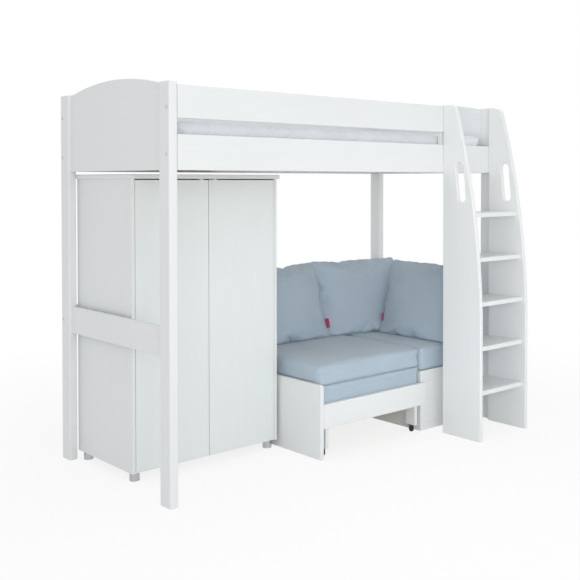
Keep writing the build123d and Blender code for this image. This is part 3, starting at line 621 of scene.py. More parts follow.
@dataclass
class SubAssembly:
    """A part of the bed, with the frame and the finishes that it takes from."""

    frame: dict
    palette: Palette

    def dress(self, finish: BoardFinish, *nodes: str) -> None:
        """Give CAD nodes a finish."""
        for node in nodes:
            self.palette.paint(self.frame["nodes"][node], finish)
            log.info("%s: %s", node, finish.name)

    def hand_over(self, piece: Piece, body: Body, slot: str, finish: Finish) -> None:
        """Give a finished piece its material, and let it ride on its body.

        Args:
            piece: The piece.
            body: The body that it rides on.
            slot: Not used.
            finish: Its finish.
        """
        self.palette.paint(piece, finish)
        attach(piece, body.value)
        log.info("%s: %d faces on %s", piece.name, len(piece.data.polygons), body.value)

    def add_screws(
        self, name: str, screw: Screw, places: list[Point], facing: Point, body: Body = Body.ROOT
    ) -> None:
        """Add a set of screws.

        Args:
            name: The name of the set.
            screw: The kind of screw.
            places: Where their heads lie.
            facing: The direction that the heads face.
            body: The body that they ride on.
        """
        self.hand_over(screw.set_rows(name, places, facing), body, "zinc_steel", ZINC)


@dataclass
class Bedstead(SubAssembly):
    """Posts, arched ends, rails and the slatted base."""

    strap_width: float = 0.030
    strap_thickness: float = 0.0012
    strap_lines: tuple[float, ...] = (-0.17, 0.124, 0.41)
    strap_edge_share: float = 0.4
    screw_count: int = 7
    screw_margin: float = 0.08
    bearer_width: float = 0.022

    def build(self) -> None:
        """Dress the nodes and add what holds the slats in line."""
        posts = ("post_front_left", "post_front_right", "post_back_left", "post_back_right")
        ends = ("end_board_left", "end_board_right", "end_rail_left", "end_rail_right")
        rails = ("side_rail_front", "side_rail_back", "guard_rail_front", "guard_rail_back", "back_rail")
        self.dress(lacquer(Run.ALONG_Z), *posts, "guard_upright")
        self.dress(lacquer(Run.ALONG_Y), *ends)
        self.dress(lacquer(Run.ALONG_X), *rails, "slat_bearers")
        self.dress(planed_wood(Run.ALONG_Y), "bed_slats")
        self.dress(ZINC, "bed_bolts")
        self.dress(PALE_PLASTIC, "bolt_caps")
        self.add_straps()
        self.add_bearer_screws()

    def add_straps(self) -> None:
        """Add the webbing that runs under the slats and keeps them apart."""
        low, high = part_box("bed_slats")
        size = (high.x - low.x, self.strap_width, self.strap_thickness)
        straps = []
        for line in self.strap_lines:
            strap = add_box(((low.x + high.x) / 2, line, low.z - self.strap_thickness / 2), size)
            modify(strap, "BEVEL", width=self.strap_thickness * self.strap_edge_share, segments=2)
            straps.append(strap)
        piece = join_pieces(straps, "slat_straps")
        lay_cloth_map(piece)
        self.hand_over(piece, Body.ROOT, "mattress_fabric", WEBBING)

    def add_bearer_screws(self) -> None:
        """Add the screws that hold the bearers to the long rails."""
        low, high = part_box("slat_bearers")
        height = (low.z + high.z) / 2
        spacing = (high.x - low.x - 2 * self.screw_margin) / (self.screw_count - 1)
        lines = [low.x + self.screw_margin + spacing * number for number in range(self.screw_count)]
        front, back = low.y + self.bearer_width, high.y - self.bearer_width
        for name, face, facing in (("front", front, 1), ("back", back, -1)):
            places = [(line, face, height) for line in lines]
            self.add_screws(f"bearer_screws_{name}", BEARER_SCREW, places, (0, facing, 0))


@dataclass
class Ladder(SubAssembly):
    """The ladder's two curved sides and its treads."""

    def build(self) -> None:
        """Dress the ladder."""
        self.dress(lacquer(Run.ALONG_Z), "ladder_side_left", "ladder_side_right")
        self.dress(lacquer(Run.ALONG_X), "ladder_treads")


@dataclass
class Wardrobe(SubAssembly):
    """The two-door wardrobe with its fittings."""

    hinge_half_height: float = 0.029
    cup_screw_spacing: float = 0.046
    plate_screw_spacing: float = 0.032
    plate_setback: float = 0.039
    plate_thickness: float = 0.002
    striker: Point = (0.022, 0.014, 0.0022)
    striker_step: float = 0.036
    striker_setback: float = 0.0008
    striker_rim: float = 0.0025
    striker_rise: float = 0.0016
    nail_spacing: float = 0.12
    nail_inset: float = 0.009
    pin_radius: float = 0.0025
    pin_length: float = 0.008
    pin_inset: float = 0.05
    worn_edge: float = 0.0005

    def build(self) -> None:
        """Dress the wardrobe and add its screws, strikers, nails and shelf pins."""
        uprights = ("wardrobe_side_left", "wardrobe_side_right", "wardrobe_back")
        self.dress(lacquer(Run.ALONG_Z), *uprights)
        self.dress(lacquer(Run.ALONG_X), "wardrobe_top", "wardrobe_floor", "wardrobe_shelf")
        self.dress(DOOR_LACQUER, "wardrobe_door_left", "wardrobe_door_right")
        self.dress(ALUMINIUM, "wardrobe_feet")
        self.dress(RAIL_METAL, "hanging_rail")
        self.dress(ZINC, "hinge_arms", "hinge_cups_left", "hinge_cups_right")
        self.dress(PALE_PLASTIC, "rail_sockets", "latch_housings")
        self.dress(GREY_PLASTIC, "latch_plunger_left", "latch_plunger_right")
        self.add_cup_screws()
        self.add_plate_screws()
        self.add_strikers()
        self.add_back_nails()
        self.add_shelf_pins()

    def hinge_spots(self, place_x: float, place_y: float, spacing: float) -> list[Point]:
        """Find two spots at each hinge, one above the other, at the heights of the doors' cups.

        Args:
            place_x: Their x.
            place_y: Their y.
            spacing: How far apart the two are.

        Returns:
            The spots of all hinges of one door.
        """
        low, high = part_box("hinge_cups_left")
        half = self.hinge_half_height
        heights = (low.z + half, (low.z + high.z) / 2, high.z - half)
        return [(place_x, place_y, height + step * spacing) for height in heights for step in (-0.5, 0.5)]

    def add_cup_screws(self) -> None:
        """Add two screws to each hinge cup's flange."""
        for side, body in (("left", Body.DOOR_LEFT), ("right", Body.DOOR_RIGHT)):
            low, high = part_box(f"hinge_cups_{side}")
            places = self.hinge_spots((low.x + high.x) / 2, high.y, self.cup_screw_spacing)
            self.add_screws(f"cup_screws_{side}", CUP_SCREW, places, (0, 1, 0), body)

    def add_plate_screws(self) -> None:
        """Add two screws to each hinge's plate on the wardrobe's sides."""
        low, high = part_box("hinge_arms")
        for side, face, facing in (("left", low.x, 1), ("right", high.x, -1)):
            place_x = face + facing * self.plate_thickness
            places = self.hinge_spots(place_x, low.y + self.plate_setback, self.plate_screw_spacing)
            self.add_screws(f"plate_screws_{side}", PLATE_SCREW, places, (facing, 0, 0))

    def add_strikers(self) -> None:
        """Add a pale striker plate with a raised middle on each door's upper edge, over its latch. Its
        plastic is real pale plastic with painted light added, lighter than the other pale plastic, for the
        shaded gap over the doors.
        """
        for side, body in (("left", Body.DOOR_LEFT), ("right", Body.DOOR_RIGHT)):
            low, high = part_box(f"wardrobe_door_{side}")
            place_x = high.x - self.striker_step if side == "left" else low.x + self.striker_step
            place_y = low.y + self.striker[1] / 2 + self.striker_setback
            plate = add_box((place_x, place_y, high.z + self.striker[2] / 2), self.striker)
            with edit_mode(plate):
                bpy.ops.mesh.select_all(action="DESELECT")
            for face in plate.data.polygons:
                face.select = face.normal.z > 0.5
            with edit_mode(plate, select=False):
                bpy.ops.mesh.inset(thickness=self.striker_rim)
                bpy.ops.mesh.extrude_region_move(TRANSFORM_OT_translate={"value": (0, 0, self.striker_rise)})
            modify(plate, "BEVEL", width=self.worn_edge, segments=2)
            plate.name = f"door_striker_{side}"
            self.hand_over(plate, body, "pale_plastic", STRIKER_PLASTIC_PAINTED_LIGHT)

    def add_back_nails(self) -> None:
        """Add the flat nails round the thin back panel."""
        low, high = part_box("wardrobe_back")
        places = []
        height = low.z + self.nail_inset
        while height < high.z:
            places += [(low.x + self.nail_inset, high.y, height), (high.x - self.nail_inset, high.y, height)]
            height += self.nail_spacing
        place_x = low.x + self.nail_spacing
        while place_x < high.x - self.nail_inset:
            places.append((place_x, high.y, low.z + self.nail_inset))
            place_x += self.nail_spacing
        self.add_screws("back_nails", BACK_NAIL, places, (0, 1, 0))

    def add_shelf_pins(self) -> None:
        """Add the steel pins that the shelf lies on."""
        low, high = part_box("wardrobe_shelf")
        half = self.pin_length / 2
        along_x = (0, math.pi / 2, 0)
        pins = []
        for x in (low.x + half, high.x - half):
            for y in (low.y + self.pin_inset, high.y - self.pin_inset):
                pin = add_cylinder(self.pin_radius, self.pin_length, (x, y, low.z - self.pin_radius), along_x)
                place_mesh(pin)
                modify(pin, "BEVEL", width=self.worn_edge, limit_method="ANGLE")
                pins.append(pin)
        self.hand_over(join_pieces(pins, "shelf_pins"), Body.ROOT, "zinc_steel", ZINC)


@dataclass
class Seat(SubAssembly):
    """The corner seat: its end panel, slatted decks, pull-out and box."""

    slat_width: float = 0.0425
    screw_inset: float = 0.014
    wheel_half: tuple[Pair, ...] = (
        *((0.24, 0.5), (0.34, 0.5), (0.36, 0.36), (0.72, 0.34), (0.76, 0.5)),
        *((0.93, 0.5), (1.0, 0.36), (1.0, 0.1), (0.965, 0.07)),
    )

    def build(self) -> None:
        """Dress the seat and add its screws and wheels."""
        self.dress(lacquer(Run.ALONG_Z), "seat_end_panel", "pull_out_legs", "box_walls")
        self.dress(lacquer(Run.ALONG_X), "seat_rear_rail", "pull_out_apron", "box_front_board", "box_top")
        self.dress(planed_wood(Run.ALONG_X), "seat_bearers", "pull_out_bars")
        self.dress(planed_wood(Run.ALONG_Y), "seat_slats_fixed", "pull_out_slats")
        self.dress(BLACK_PLASTIC, "caster_forks")
        self.add_slat_screws()
        for side in ("left", "right"):
            self.add_wheel(side)

    def add_slat_screws(self) -> None:
        """Add the sunk screws that fix each slat near its two ends."""
        for node, body, count in (("seat_slats_fixed", Body.ROOT, 6), ("pull_out_slats", Body.PULL_OUT, 7)):
            low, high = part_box(node)
            pitch = (high.x - low.x - self.slat_width) / (count - 1)
            places = []
            for number in range(count):
                place_x = low.x + self.slat_width / 2 + number * pitch
                for place_y in (low.y + self.screw_inset, high.y - self.screw_inset):
                    places.append((place_x, place_y, high.z))
            self.add_screws(f"{node}_screws", SLAT_SCREW, places, (0, 0, 1), body)

    def add_wheel(self, side: str) -> None:
        """Turn one caster wheel, with a grooved tread, recessed flanks and a hub.

        Args:
            side: The wheel's side of the seat.
        """
        low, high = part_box(f"caster_wheel_{side}")
        radius, width = (high.z - low.z) / 2, high.x - low.x
        profile = [*self.wheel_half, *((out, -across) for out, across in reversed(self.wheel_half))]
        spots = [(width * across, 0.0, radius * out) for out, across in profile]
        mesh = bpy.data.meshes.new("wheel_profile")
        mesh.from_pydata(spots, [(step, (step + 1) % len(spots)) for step in range(len(spots))], [])
        wheel = new_object(f"caster_tyre_{side}", mesh)
        with edit_mode(wheel):
            bpy.ops.mesh.spin(steps=48, angle=math.tau, center=(0, 0, 0), axis=(1, 0, 0))
            bpy.ops.mesh.select_all(action="SELECT")
            bpy.ops.mesh.remove_doubles(threshold=0.00001)
            bpy.ops.mesh.normals_make_consistent(inside=False)
        wheel.location = (low + high) / 2
        place_mesh(wheel)
        bpy.ops.object.shade_smooth_by_angle(angle=math.radians(35))
        self.palette.paint(wheel, TYRE_RUBBER)
        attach(wheel, f"caster_{side}")
        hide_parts(f"caster_wheel_{side}")
        log.info("%s: %d faces", wheel.name, len(wheel.data.polygons))


def run_cloth(piece: Piece, pressure: float, frames: int, **settings: float) -> None:
    """Let a cover swell under its filling's pressure, with no weight.

    Args:
        piece: The cover.
        pressure: The pressure inside it.
        frames: How many frames the cloth is run for.
        settings: Other properties of the cloth.
    """
    cloth = piece.modifiers.new("filling", "CLOTH")
    cloth.settings.use_pressure = True
    cloth.settings.uniform_pressure_force = pressure
    cloth.settings.effector_weights.gravity = 0
    for name, value in settings.items():
        setattr(cloth.settings, name, value)
    cloth.point_cache.frame_start = 1
    cloth.point_cache.frame_end = frames
    for number in range(1, frames + 1):
        bpy.context.scene.frame_set(number)
    apply_modifier(piece, cloth.name)
    bpy.context.scene.frame_set(1)


def seam_tube(name: str, points: list[Vector], radius: float) -> Piece:
    """Sweep a thin closed welt along points.

    Args:
        name: The welt's name.
        points: The points of its closed line.
        radius: The welt's radius.

    Returns:
        The welt as a mesh.
    """
    curve = bpy.data.curves.new(name, "CURVE")
    curve.dimensions = "3D"
    curve.bevel_depth = radius
    curve.bevel_resolution = 1
    spline = curve.splines.new("POLY")
    spline.points.add(len(points) - 1)
    for target, point in zip(spline.points, points):
        target.co = (*point, 1.0)
    spline.use_cyclic_u = True
    activate(new_object(name, curve))
    bpy.ops.object.convert(target="MESH")
    return bpy.context.object


@dataclass
class BlockCushion(SubAssembly):
    """A foam cushion with sewn edges that stands for a soft CAD node.

    Each of its seams runs round it at one height, from a nearest y to the cushion's back.
    """

    node: str
    body: Body
    seams: tuple[Pair, ...]
    finish: FabricFinish = CUSHION_FABRIC
    slot: str = "cushion_fabric"
    merge_distance: float = 0.00005
    voxel: float = 0.006
    shrink: float = 0.0015
    pressure: float = 2.5
    cap: float = 0.004
    frames: int = 8
    seam_radius: float = 0.0012
    corner_radius: float = 0.022
    corner_steps: int = 6
    seam_step: float = 0.010
    firmness: float = 0.8
    reach: float = 0.0

    def build(self) -> None:
        """Model the cushion from its solid, fill it and sew its seams."""
        low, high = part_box(self.node)
        piece = new_object(self.node + "_cover", self.frame["nodes"][self.node].data.copy())
        with edit_mode(piece):
            bpy.ops.mesh.remove_doubles(threshold=self.merge_distance)
        with edit_mode(piece):
            bpy.ops.transform.shrink_fatten(value=-self.shrink)
        for vertex in piece.data.vertices:
            vertex.co.x += self.reach * max(0.0, (vertex.co.x - low.x) / (high.x - low.x))
        modify(piece, "REMESH", mode="VOXEL", voxel_size=self.voxel)
        modify(piece, "SMOOTH", factor=0.5, iterations=2)
        self.fill_up(piece)
        for vertex in piece.data.vertices:
            for axis, reach in enumerate((self.reach, 0.0, 0.0)):
                vertex.co[axis] = min(max(vertex.co[axis], low[axis]), high[axis] + reach)
        welts = []
        for near, height in self.seams:
            line = self.seam_line(piece, near, height)
            welts.append(seam_tube(self.node + "_seam", line, self.seam_radius))
        piece = join_pieces([piece, *welts], self.node + "_cover")
        finish_cloth(piece)
        self.hand_over(piece, self.body, self.slot, self.finish)
        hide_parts(self.node)

    def fill_up(self, piece: Piece) -> None:
        """Let the cover swell, each point by no more than the cap.

        Args:
            piece: The cover.
        """
        start = [vertex.co.copy() for vertex in piece.data.vertices]
        run_cloth(piece, self.pressure, self.frames)
        for vertex, before in zip(piece.data.vertices, start):
            moved = vertex.co - before
            if moved.length > self.cap:
                vertex.co = before + moved * (self.cap / moved.length)

    def seam_line(self, piece: Piece, near: float, height: float) -> list[Vector]:
        """Points of a seam round the cushion, laid on its edge.

        Args:
            piece: The cushion that it lies on.
            near: The seam's nearest y.
            height: The seam's height.

        Returns:
            The points, in order.
        """
        low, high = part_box(self.node)
        far = high.y
        right = high.x + self.reach
        corners = ((right, far, 0.0), (low.x, far, 0.5), (low.x, near, 1.0), (right, near, 1.5))
        points = []
        for corner_x, corner_y, start in corners:
            middle_x = corner_x - math.copysign(self.corner_radius, corner_x - (low.x + right) / 2)
            middle_y = corner_y - math.copysign(self.corner_radius, corner_y - (near + far) / 2)
            for step in range(self.corner_steps + 1):
                angle = math.pi * (start + step / (2 * self.corner_steps))
                spot_x = middle_x + self.corner_radius * math.cos(angle)
                points.append(Vector((spot_x, middle_y + self.corner_radius * math.sin(angle), height)))
        dense = []
        for first, second in zip(points, points[1:] + points[:1]):
            count = max(1, round((second - first).length / self.seam_step))
            dense += [first.lerp(second, step / count) for step in range(count)]
        return [piece.closest_point_on_mesh(point)[1] for point in dense]


@dataclass
class BackCushion(SubAssembly):
    """A stuffed back cushion, sewn flat from two panels and then filled."""

    node: str
    place: Pair
    turn: float
    lean: float
    seed: float
    slump: float = 0.055
    slump_share: float = 0.55
    width: float = 0.612
    height: float = 0.474
    thickness: float = 0.186
    panel_width: float = 0.625
    panel_height: float = 0.480
    panel_corner: float = 0.018
    panel_belly: float = 0.022
    border: float = 0.010
    wrinkle: float = 0.003
    wrinkle_scale: Pair = (2.7, 2.1)
    columns: int = 76
    rows: int = 58
    seam_radius: float = 0.0017
    seat_height: float = 0.4455
    sink: float = 0.050
    sole: float = 0.0006
    tuck: float = 0.012
    tuck_height: float = 0.018
    quick_roundness: float = 2.4
    pressure: float = 8.0
    frames: int = 15
    quality: int = 6
    stiffness: float = 70.0
    bending: float = 0.012
    damping: float = 10.0
    air_damping: float = 5.0

    def stand(self) -> Matrix:
        """The cushion's place: its lower seam's middle, its turn and its lean."""
        place = Matrix.Translation((self.place[0], self.place[1], self.seat_height - self.sink))
        turn = Matrix.Rotation(math.radians(self.turn), 4, "Z")
        return place @ turn @ Matrix.Rotation(math.radians(-self.lean), 4, "X")

    def build(self) -> Piece:
        """Sew, fill and place the cushion.

        Returns:
            The finished cushion.
        """
        piece = self.cut_panels()
        self.fill_up(piece)
        self.fit(piece)
        rim = self.rim_points(piece)
        modify(piece, "SUBSURF", levels=1, render_levels=1)
        welt = seam_tube(self.node + "_seam", rim, self.seam_radius)
        piece = join_pieces([piece, welt], self.node + "_cover")
        piece.data.transform(self.stand())
        self.press(piece)
        finish_cloth(piece)
        self.hand_over(piece, Body.ROOT, "cushion_fabric", CUSHION_FABRIC)
        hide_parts(self.node)
        return piece

    def cut_panels(self) -> Piece:
        """Cut both panels with rounded corners and join them by a narrow border.

        Returns:
            The flat, closed cover.
        """
        deselect()
        bpy.ops.mesh.primitive_grid_add(
            x_subdivisions=self.columns, y_subdivisions=self.rows, size=2, rotation=(math.pi / 2, 0, 0)
        )
        piece = bpy.context.object
        place_mesh(piece)
        for vertex in piece.data.vertices:
            vertex.co = self.panel_point(vertex.co.x, vertex.co.z)
        modify(piece, "SOLIDIFY", thickness=self.border, offset=0)
        with edit_mode(piece):
            bpy.ops.mesh.normals_make_consistent(inside=False)
        return piece

    def panel_point(self, across: float, up: float) -> Vector:
        """Place a panel's point.

        Args:
            across: Its share of -1 to 1 across the panel.
            up: Its share of -1 to 1 up the panel.

        Returns:
            The point, with the panel's round corners, full sides and first wrinkles.
        """
        half_x, half_z = self.panel_width / 2, self.panel_height / 2
        corner = self.panel_corner
        x, z = across * half_x, up * half_z
        over_x = (abs(x) - half_x + corner) / corner
        over_z = (abs(z) - half_z + corner) / corner
        if over_x > 0 and over_z > 0:
            x = math.copysign(half_x - corner + corner * over_x * math.sqrt(1 - over_z**2 / 2), x)
            z = math.copysign(half_z - corner + corner * over_z * math.sqrt(1 - over_x**2 / 2), z)
        x += self.panel_belly * across * (1 - up**2)
        z += self.panel_belly * up * (1 - across**2)
        scale_x, scale_z = self.wrinkle_scale
        wrinkle = noise.noise(Vector((across * scale_x, up * scale_z, self.seed)))
        return Vector((x, self.wrinkle * wrinkle, z))

    def fill_up(self, piece: Piece) -> None:
        """Let the filling's pressure blow the panels apart, which gathers them at the seam.

        Args:
            piece: The flat cover.
        """
        run_cloth(
            piece,
            self.pressure,
            self.frames,
            quality=self.quality,
            tension_stiffness=self.stiffness,
            compression_stiffness=self.stiffness,
            shear_stiffness=self.stiffness / 3,
            bending_stiffness=self.bending,
            tension_damping=self.damping,
            compression_damping=self.damping,
            air_damping=self.air_damping,
        )

    def fit(self, piece: Piece) -> None:
        """Bring the filled cushion to its size, with its lower seam on the ground.

        Args:
            piece: The filled cover.
        """
        low = [min(vertex.co[axis] for vertex in piece.data.vertices) for axis in range(3)]
        high = [max(vertex.co[axis] for vertex in piece.data.vertices) for axis in range(3)]
        sizes = (self.width, self.thickness, self.height)
        log.info("%s: filled to %s", self.node, [round(top - bottom, 3) for bottom, top in zip(low, high)])
        for vertex in piece.data.vertices:
            for axis in range(3):
                middle = (low[axis] + high[axis]) / 2
                vertex.co[axis] = (vertex.co[axis] - middle) * sizes[axis] / (high[axis] - low[axis])
            vertex.co.z += self.height / 2
            vertex.co.y -= self.slump * max(0.0, 1 - vertex.co.z / (self.height * self.slump_share)) ** 2

    def rim_points(self, piece: Piece) -> list[Vector]:
        """Find the points along the seam, between the edges of the two panels.

        Args:
            piece: The filled cover.

        Returns:
            The points, in order.
        """
        across, up = self.columns + 1, self.rows + 1
        lower = list(range(across))
        right = [across * row + across - 1 for row in range(1, up)]
        upper = [across * (up - 1) + column for column in reversed(range(across - 1))]
        left = [across * row for row in reversed(range(1, up - 1))]
        count = across * up
        points = piece.data.vertices
        return [(points[index].co + points[index + count].co) / 2 for index in lower + right + upper + left]

    def press(self, piece: Piece) -> None:
        """Flatten the cushion where it stands on the seat, and tuck its foot in under its bulge.

        Args:
            piece: The cover in its place.
        """
        normals = [vertex.normal.copy() for vertex in piece.data.vertices]
        for vertex, normal in zip(piece.data.vertices, normals):
            height = vertex.co.z - self.seat_height
            if height < self.tuck_height:
                share = min(1.0, 1 - height / self.tuck_height)
                vertex.co -= Vector((normal.x, normal.y, 0.0)) * (self.tuck * share**2)
            if height < 0:
                vertex.co.z = self.seat_height + self.sole * min(1.0, -height / self.sink)


def press_against(
    piece: Piece, other: Piece, gap: float, away: Point | None = None, search: float = 0.08
) -> None:
    """Flatten a soft piece where it runs into another.

    Args:
        piece: The piece that gives way.
        other: The piece that it leans on.
        gap: How far apart they end up.
        away: The direction in which it gives way, or None for the nearest way out.
        search: How deep it may have run in.
    """
    moved = 0
    for vertex in piece.data.vertices:
        found, spot, normal, _ = other.closest_point_on_mesh(vertex.co, distance=search)
        if not found or (vertex.co - spot).dot(normal) >= gap:
            continue
        if away is not None and (vertex.co - spot).dot(normal) < 0:
            hit, out, _, _ = other.ray_cast(vertex.co, Vector(away))
            vertex.co = out + Vector(away) * gap if hit else vertex.co
        else:
            vertex.co = spot + normal * gap
        moved += 1
    log.info("%s gives way to %s at %d points", piece.name, other.name, moved)


@dataclass
class Tag(SubAssembly):
    """A small plain folded tape sewn into a back cushion's side seam."""

    name: str
    cushion: Piece
    side: Point
    height: float
    outward: Point
    length: float = 0.026
    width: float = 0.052
    tilt: float = -10.0
    thickness: float = 0.0014
    edge_share: float = 0.3
    curl: Pair = (0.0022, 2.4)
    ripple: Point = (0.0012, 6.0, 0.5)
    taper: float = 0.06
    sewn_in: float = 0.003
    seam_band: float = 0.008

    def seam_spot(self) -> Vector:
        """The cushion's outermost point on the tag's side, at its height."""
        points = (vertex.co for vertex in self.cushion.data.vertices)
        level = [point for point in points if abs(point.z - self.height) < self.seam_band]
        return max(level, key=lambda spot: spot.dot(Vector(self.side))).copy()

    def build(self) -> None:
        """Fold the tape and sew it into the seam."""
        deselect()
        bpy.ops.mesh.primitive_grid_add(x_subdivisions=8, y_subdivisions=12, size=1)
        tag = bpy.context.object
        tag.name = self.name
        (curl, curl_rate), (ripple, ripple_rate, ripple_start) = self.curl, self.ripple
        for vertex in tag.data.vertices:
            out = vertex.co.x + 0.5
            bend = curl * math.sin(out * curl_rate)
            bend += ripple * math.sin(vertex.co.y * ripple_rate + ripple_start) * out
            vertex.co = (out * self.length, bend, vertex.co.y * self.width * (1 - self.taper * out))
        modify(tag, "SOLIDIFY", thickness=self.thickness, offset=0)
        modify(tag, "BEVEL", width=self.thickness * self.edge_share, segments=2, limit_method="ANGLE")
        outward = Vector(self.outward).normalized()
        turn = Matrix.Rotation(math.atan2(outward.y, outward.x), 4, "Z")
        tilt = Matrix.Rotation(math.radians(self.tilt), 4, "Y")
        tag.data.transform(Matrix.Translation(self.seam_spot() - outward * self.sewn_in) @ turn @ tilt)
        finish_cloth(tag)
        self.hand_over(tag, Body.ROOT, "cushion_fabric", TAG_FABRIC)


@dataclass
class Upholstery(SubAssembly):
    """The seat's cushions, the mattress, the back cushions and their tags."""

    crown: float = 0.006
    fold_gap: float = 0.0003

    def build(self) -> None:
        """Make all soft pieces."""
        self.add_blocks()
        self.add_back_cushions()

    def add_blocks(self) -> None:
        """Make the foam cushions and the mattress from their solids."""
        low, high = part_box("seat_cushion_base")
        upper_low, upper_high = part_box("seat_cushion_upper")
        fold = upper_high.y + self.fold_gap
        seams = ((low.y, low.z), (low.y, upper_low.z), (fold, high.z - self.crown))
        BlockCushion(self.frame, self.palette, "seat_cushion_base", Body.ROOT, seams).build()
        for node, body in (("seat_cushion_upper", Body.SEAT_UPPER), ("corner_cushion", Body.ROOT)):
            low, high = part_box(node)
            seams = ((low.y, low.z), (low.y, high.z - self.crown))
            BlockCushion(self.frame, self.palette, node, body, seams).build()
        low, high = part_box("mattress")
        BlockCushion(
            self.frame,
            self.palette,
            "mattress",
            Body.ROOT,
            ((low.y, low.z), (low.y, high.z)),
            MATTRESS_FABRIC,
            "mattress_fabric",
            voxel=0.012,
            corner_radius=0.045,
            seam_radius=0.003,
            firmness=0.9,
            reach=0.022,
        ).build()

    def add_back_cushions(self) -> None:
        """Make the back cushions, lean them on each other and sew in the tags."""
        kit = (self.frame, self.palette)
        left = BackCushion(*kit, "back_cushion_left", (0.148, 0.370), 0.0, 15.0, 1.0).build()
        corner = BackCushion(
            *kit, "back_cushion_corner", (0.722, 0.350), -11.0, 15.0, 2.0, slump=0.085
        ).build()
        end = BackCushion(*kit, "back_cushion_end", (0.794, -0.014), -90.0, 13.5, 3.0, slump=0.058).build()
        press_against(corner, left, 0.005, away=(0.0, 1.0, 0.0))
        press_against(end, corner, 0.003)
        side, facing = (0.743, -0.669, 0.0), (0.55, -0.83, 0.0)
        Tag(*kit, "seam_tag_left", left, side, 0.522, facing, width=0.056).build()
        side, facing = (-0.743, 0.669, 0.0), (-0.97, -0.25, 0.0)
        Tag(*kit, "seam_tag_end", end, side, 0.545, facing, length=0.030, width=0.046, tilt=8.0).build()


@dataclass(frozen=True)
class Lamp:
    """A soft rectangular lamp, with its power in watts and its cone in degrees."""

    name: str
    place: Point
    target: Point
    size: Pair
    power: float
    spread: float = 180.0

    def hang(self) -> None:
        """Add the lamp, facing its target."""
        lamp = bpy.data.lights.new(self.name, "AREA")
        lamp.shape = "RECTANGLE"
        lamp.size, lamp.size_y = self.size
        lamp.energy = self.power
        lamp.spread = math.radians(self.spread)
        holder = new_object(self.name, lamp)
        holder.location = self.place
        facing = Vector(self.target) - Vector(self.place)
        holder.rotation_euler = facing.to_track_quat("-Z", "Y").to_euler()


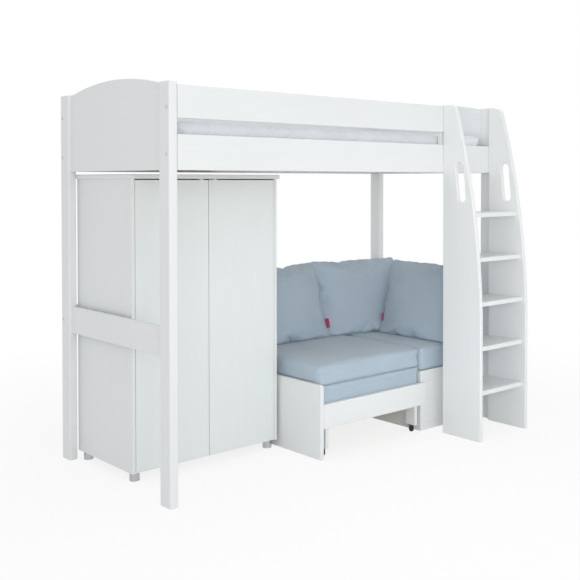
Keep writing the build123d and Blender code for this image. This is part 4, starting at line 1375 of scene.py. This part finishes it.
@dataclass
class Studio:
    """The pale floor, the soft lamps, the white surroundings and the camera."""

    lamps: tuple[Lamp, ...] = (
        Lamp("key_lamp", (-1.5, -4.4, 1.5), (0.2, 0.0, 0.7), (1.8, 2.2), 32.0),
        Lamp("fill_lamp", (-3.4, -4.2, 1.7), (0.3, 0.0, 0.7), (2.4, 2.4), 29.0),
        Lamp("near_lamp", (-1.6, -2.4, 1.0), (0.75, -0.3, 0.68), (0.8, 0.9), 1.7, 54.0),
        Lamp("top_lamp", (0.0, -0.4, 4.6), (0.0, 0.0, 0.0), (3.5, 2.5), 30.0),
    )
    eye: Point = (-3.0523, -3.4619, 1.3264)
    yaw: float = 0.7345
    pitch: float = 0.0212
    focal_pixels: float = 910.38
    principal: Pair = (322.0, 200.0)
    image_size: float = 580.0
    sensor: float = 36.0
    view_depth: float = 200.0
    ambient: float = 0.75
    floor_size: float = 60.0
    floor_drop: float = 0.0004
    floor_colour: tuple[float, ...] = (0.9, 0.9, 0.9, 1.0)
    floor_glow: float = 0.82
    glow_reach: Pair = (1.2, 3.6)

    def build(self) -> None:
        """Set up all that stands round the bed."""
        self.add_floor()
        self.add_world()
        for lamp in self.lamps:
            lamp.hang()
        self.add_camera()

    def add_floor(self) -> None:
        """Lay the floor, white where no shadow falls on it."""
        deselect()
        bpy.ops.mesh.primitive_plane_add(size=self.floor_size, location=(0, 0, -self.floor_drop))
        floor = bpy.context.object
        floor.name = "studio_floor"
        material = bpy.data.materials.new("studio_floor")
        material.use_nodes = True
        graph = Graph(material.node_tree)
        graph.tree.nodes.clear()
        plain = graph.add("ShaderNodeBsdfDiffuse", {"Color": self.floor_colour})
        glow = graph.add("ShaderNodeEmission", {"Color": PURE_WHITE, "Strength": 1.0})
        place = graph.add("ShaderNodeTexCoord").outputs["Object"]
        distance = graph.add("ShaderNodeVectorMath", {0: place}, operation="LENGTH").outputs["Value"]
        near, far = self.glow_reach
        values = {"Value": distance, "From Min": near, "From Max": far}
        values |= {"To Min": self.floor_glow, "To Max": 1.0}
        reach = graph.add("ShaderNodeMapRange", values, interpolation_type="SMOOTHSTEP").outputs[0]
        share = graph.math("MULTIPLY", self.seen(graph), reach)
        both = graph.add("ShaderNodeMixShader", {0: share, 1: plain.outputs[0], 2: glow.outputs[0]})
        graph.join(both.outputs[0], graph.add("ShaderNodeOutputMaterial"), "Surface")
        floor.data.materials.append(material)

    def seen(self, graph: Graph) -> Socket:
        """One where a ray is looked along, by the camera or in a reflection."""
        path = graph.add("ShaderNodeLightPath").outputs
        shine = graph.math("MAXIMUM", path["Is Glossy Ray"], path["Is Transmission Ray"])
        return graph.math("MAXIMUM", path["Is Camera Ray"], shine)

    def add_world(self) -> None:
        """Make the surroundings: white to look at, and softer as a light."""
        world = bpy.data.worlds.new("studio_world")
        bpy.context.scene.world = world
        world.use_nodes = True
        graph = Graph(world.node_tree)
        graph.tree.nodes.clear()
        values = {"Value": self.seen(graph), "To Min": self.ambient, "To Max": 1.0}
        level = graph.add("ShaderNodeMapRange", values)
        glow = graph.add("ShaderNodeBackground", {"Color": PURE_WHITE, "Strength": level.outputs[0]})
        graph.join(glow.outputs[0], graph.add("ShaderNodeOutputWorld"), "Surface")

    def add_camera(self) -> None:
        """Set the camera where the photograph was taken from."""
        data = bpy.data.cameras.new("camera")
        data.sensor_width = self.sensor
        data.lens = self.focal_pixels / self.image_size * self.sensor
        data.shift_x = (self.image_size / 2 - self.principal[0]) / self.image_size
        data.shift_y = (self.principal[1] - self.image_size / 2) / self.image_size
        data.clip_end = self.view_depth
        camera = new_object("camera", data)
        camera.location = self.eye
        camera.rotation_euler = (math.pi / 2 - self.pitch, 0.0, -self.yaw)
        bpy.context.scene.camera = camera
        bpy.context.scene.view_settings.view_transform = "Standard"


def main() -> None:
    """Load the frame and build the bed's looks, class by class."""
    logging.basicConfig(level=logging.INFO, format="%(name)s: %(message)s")
    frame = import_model()
    palette = Palette()
    for part in (Bedstead, Ladder, Wardrobe, Seat, Upholstery):
        part(frame, palette).build()
    Studio().build()


if __name__ == "__main__":
    main()
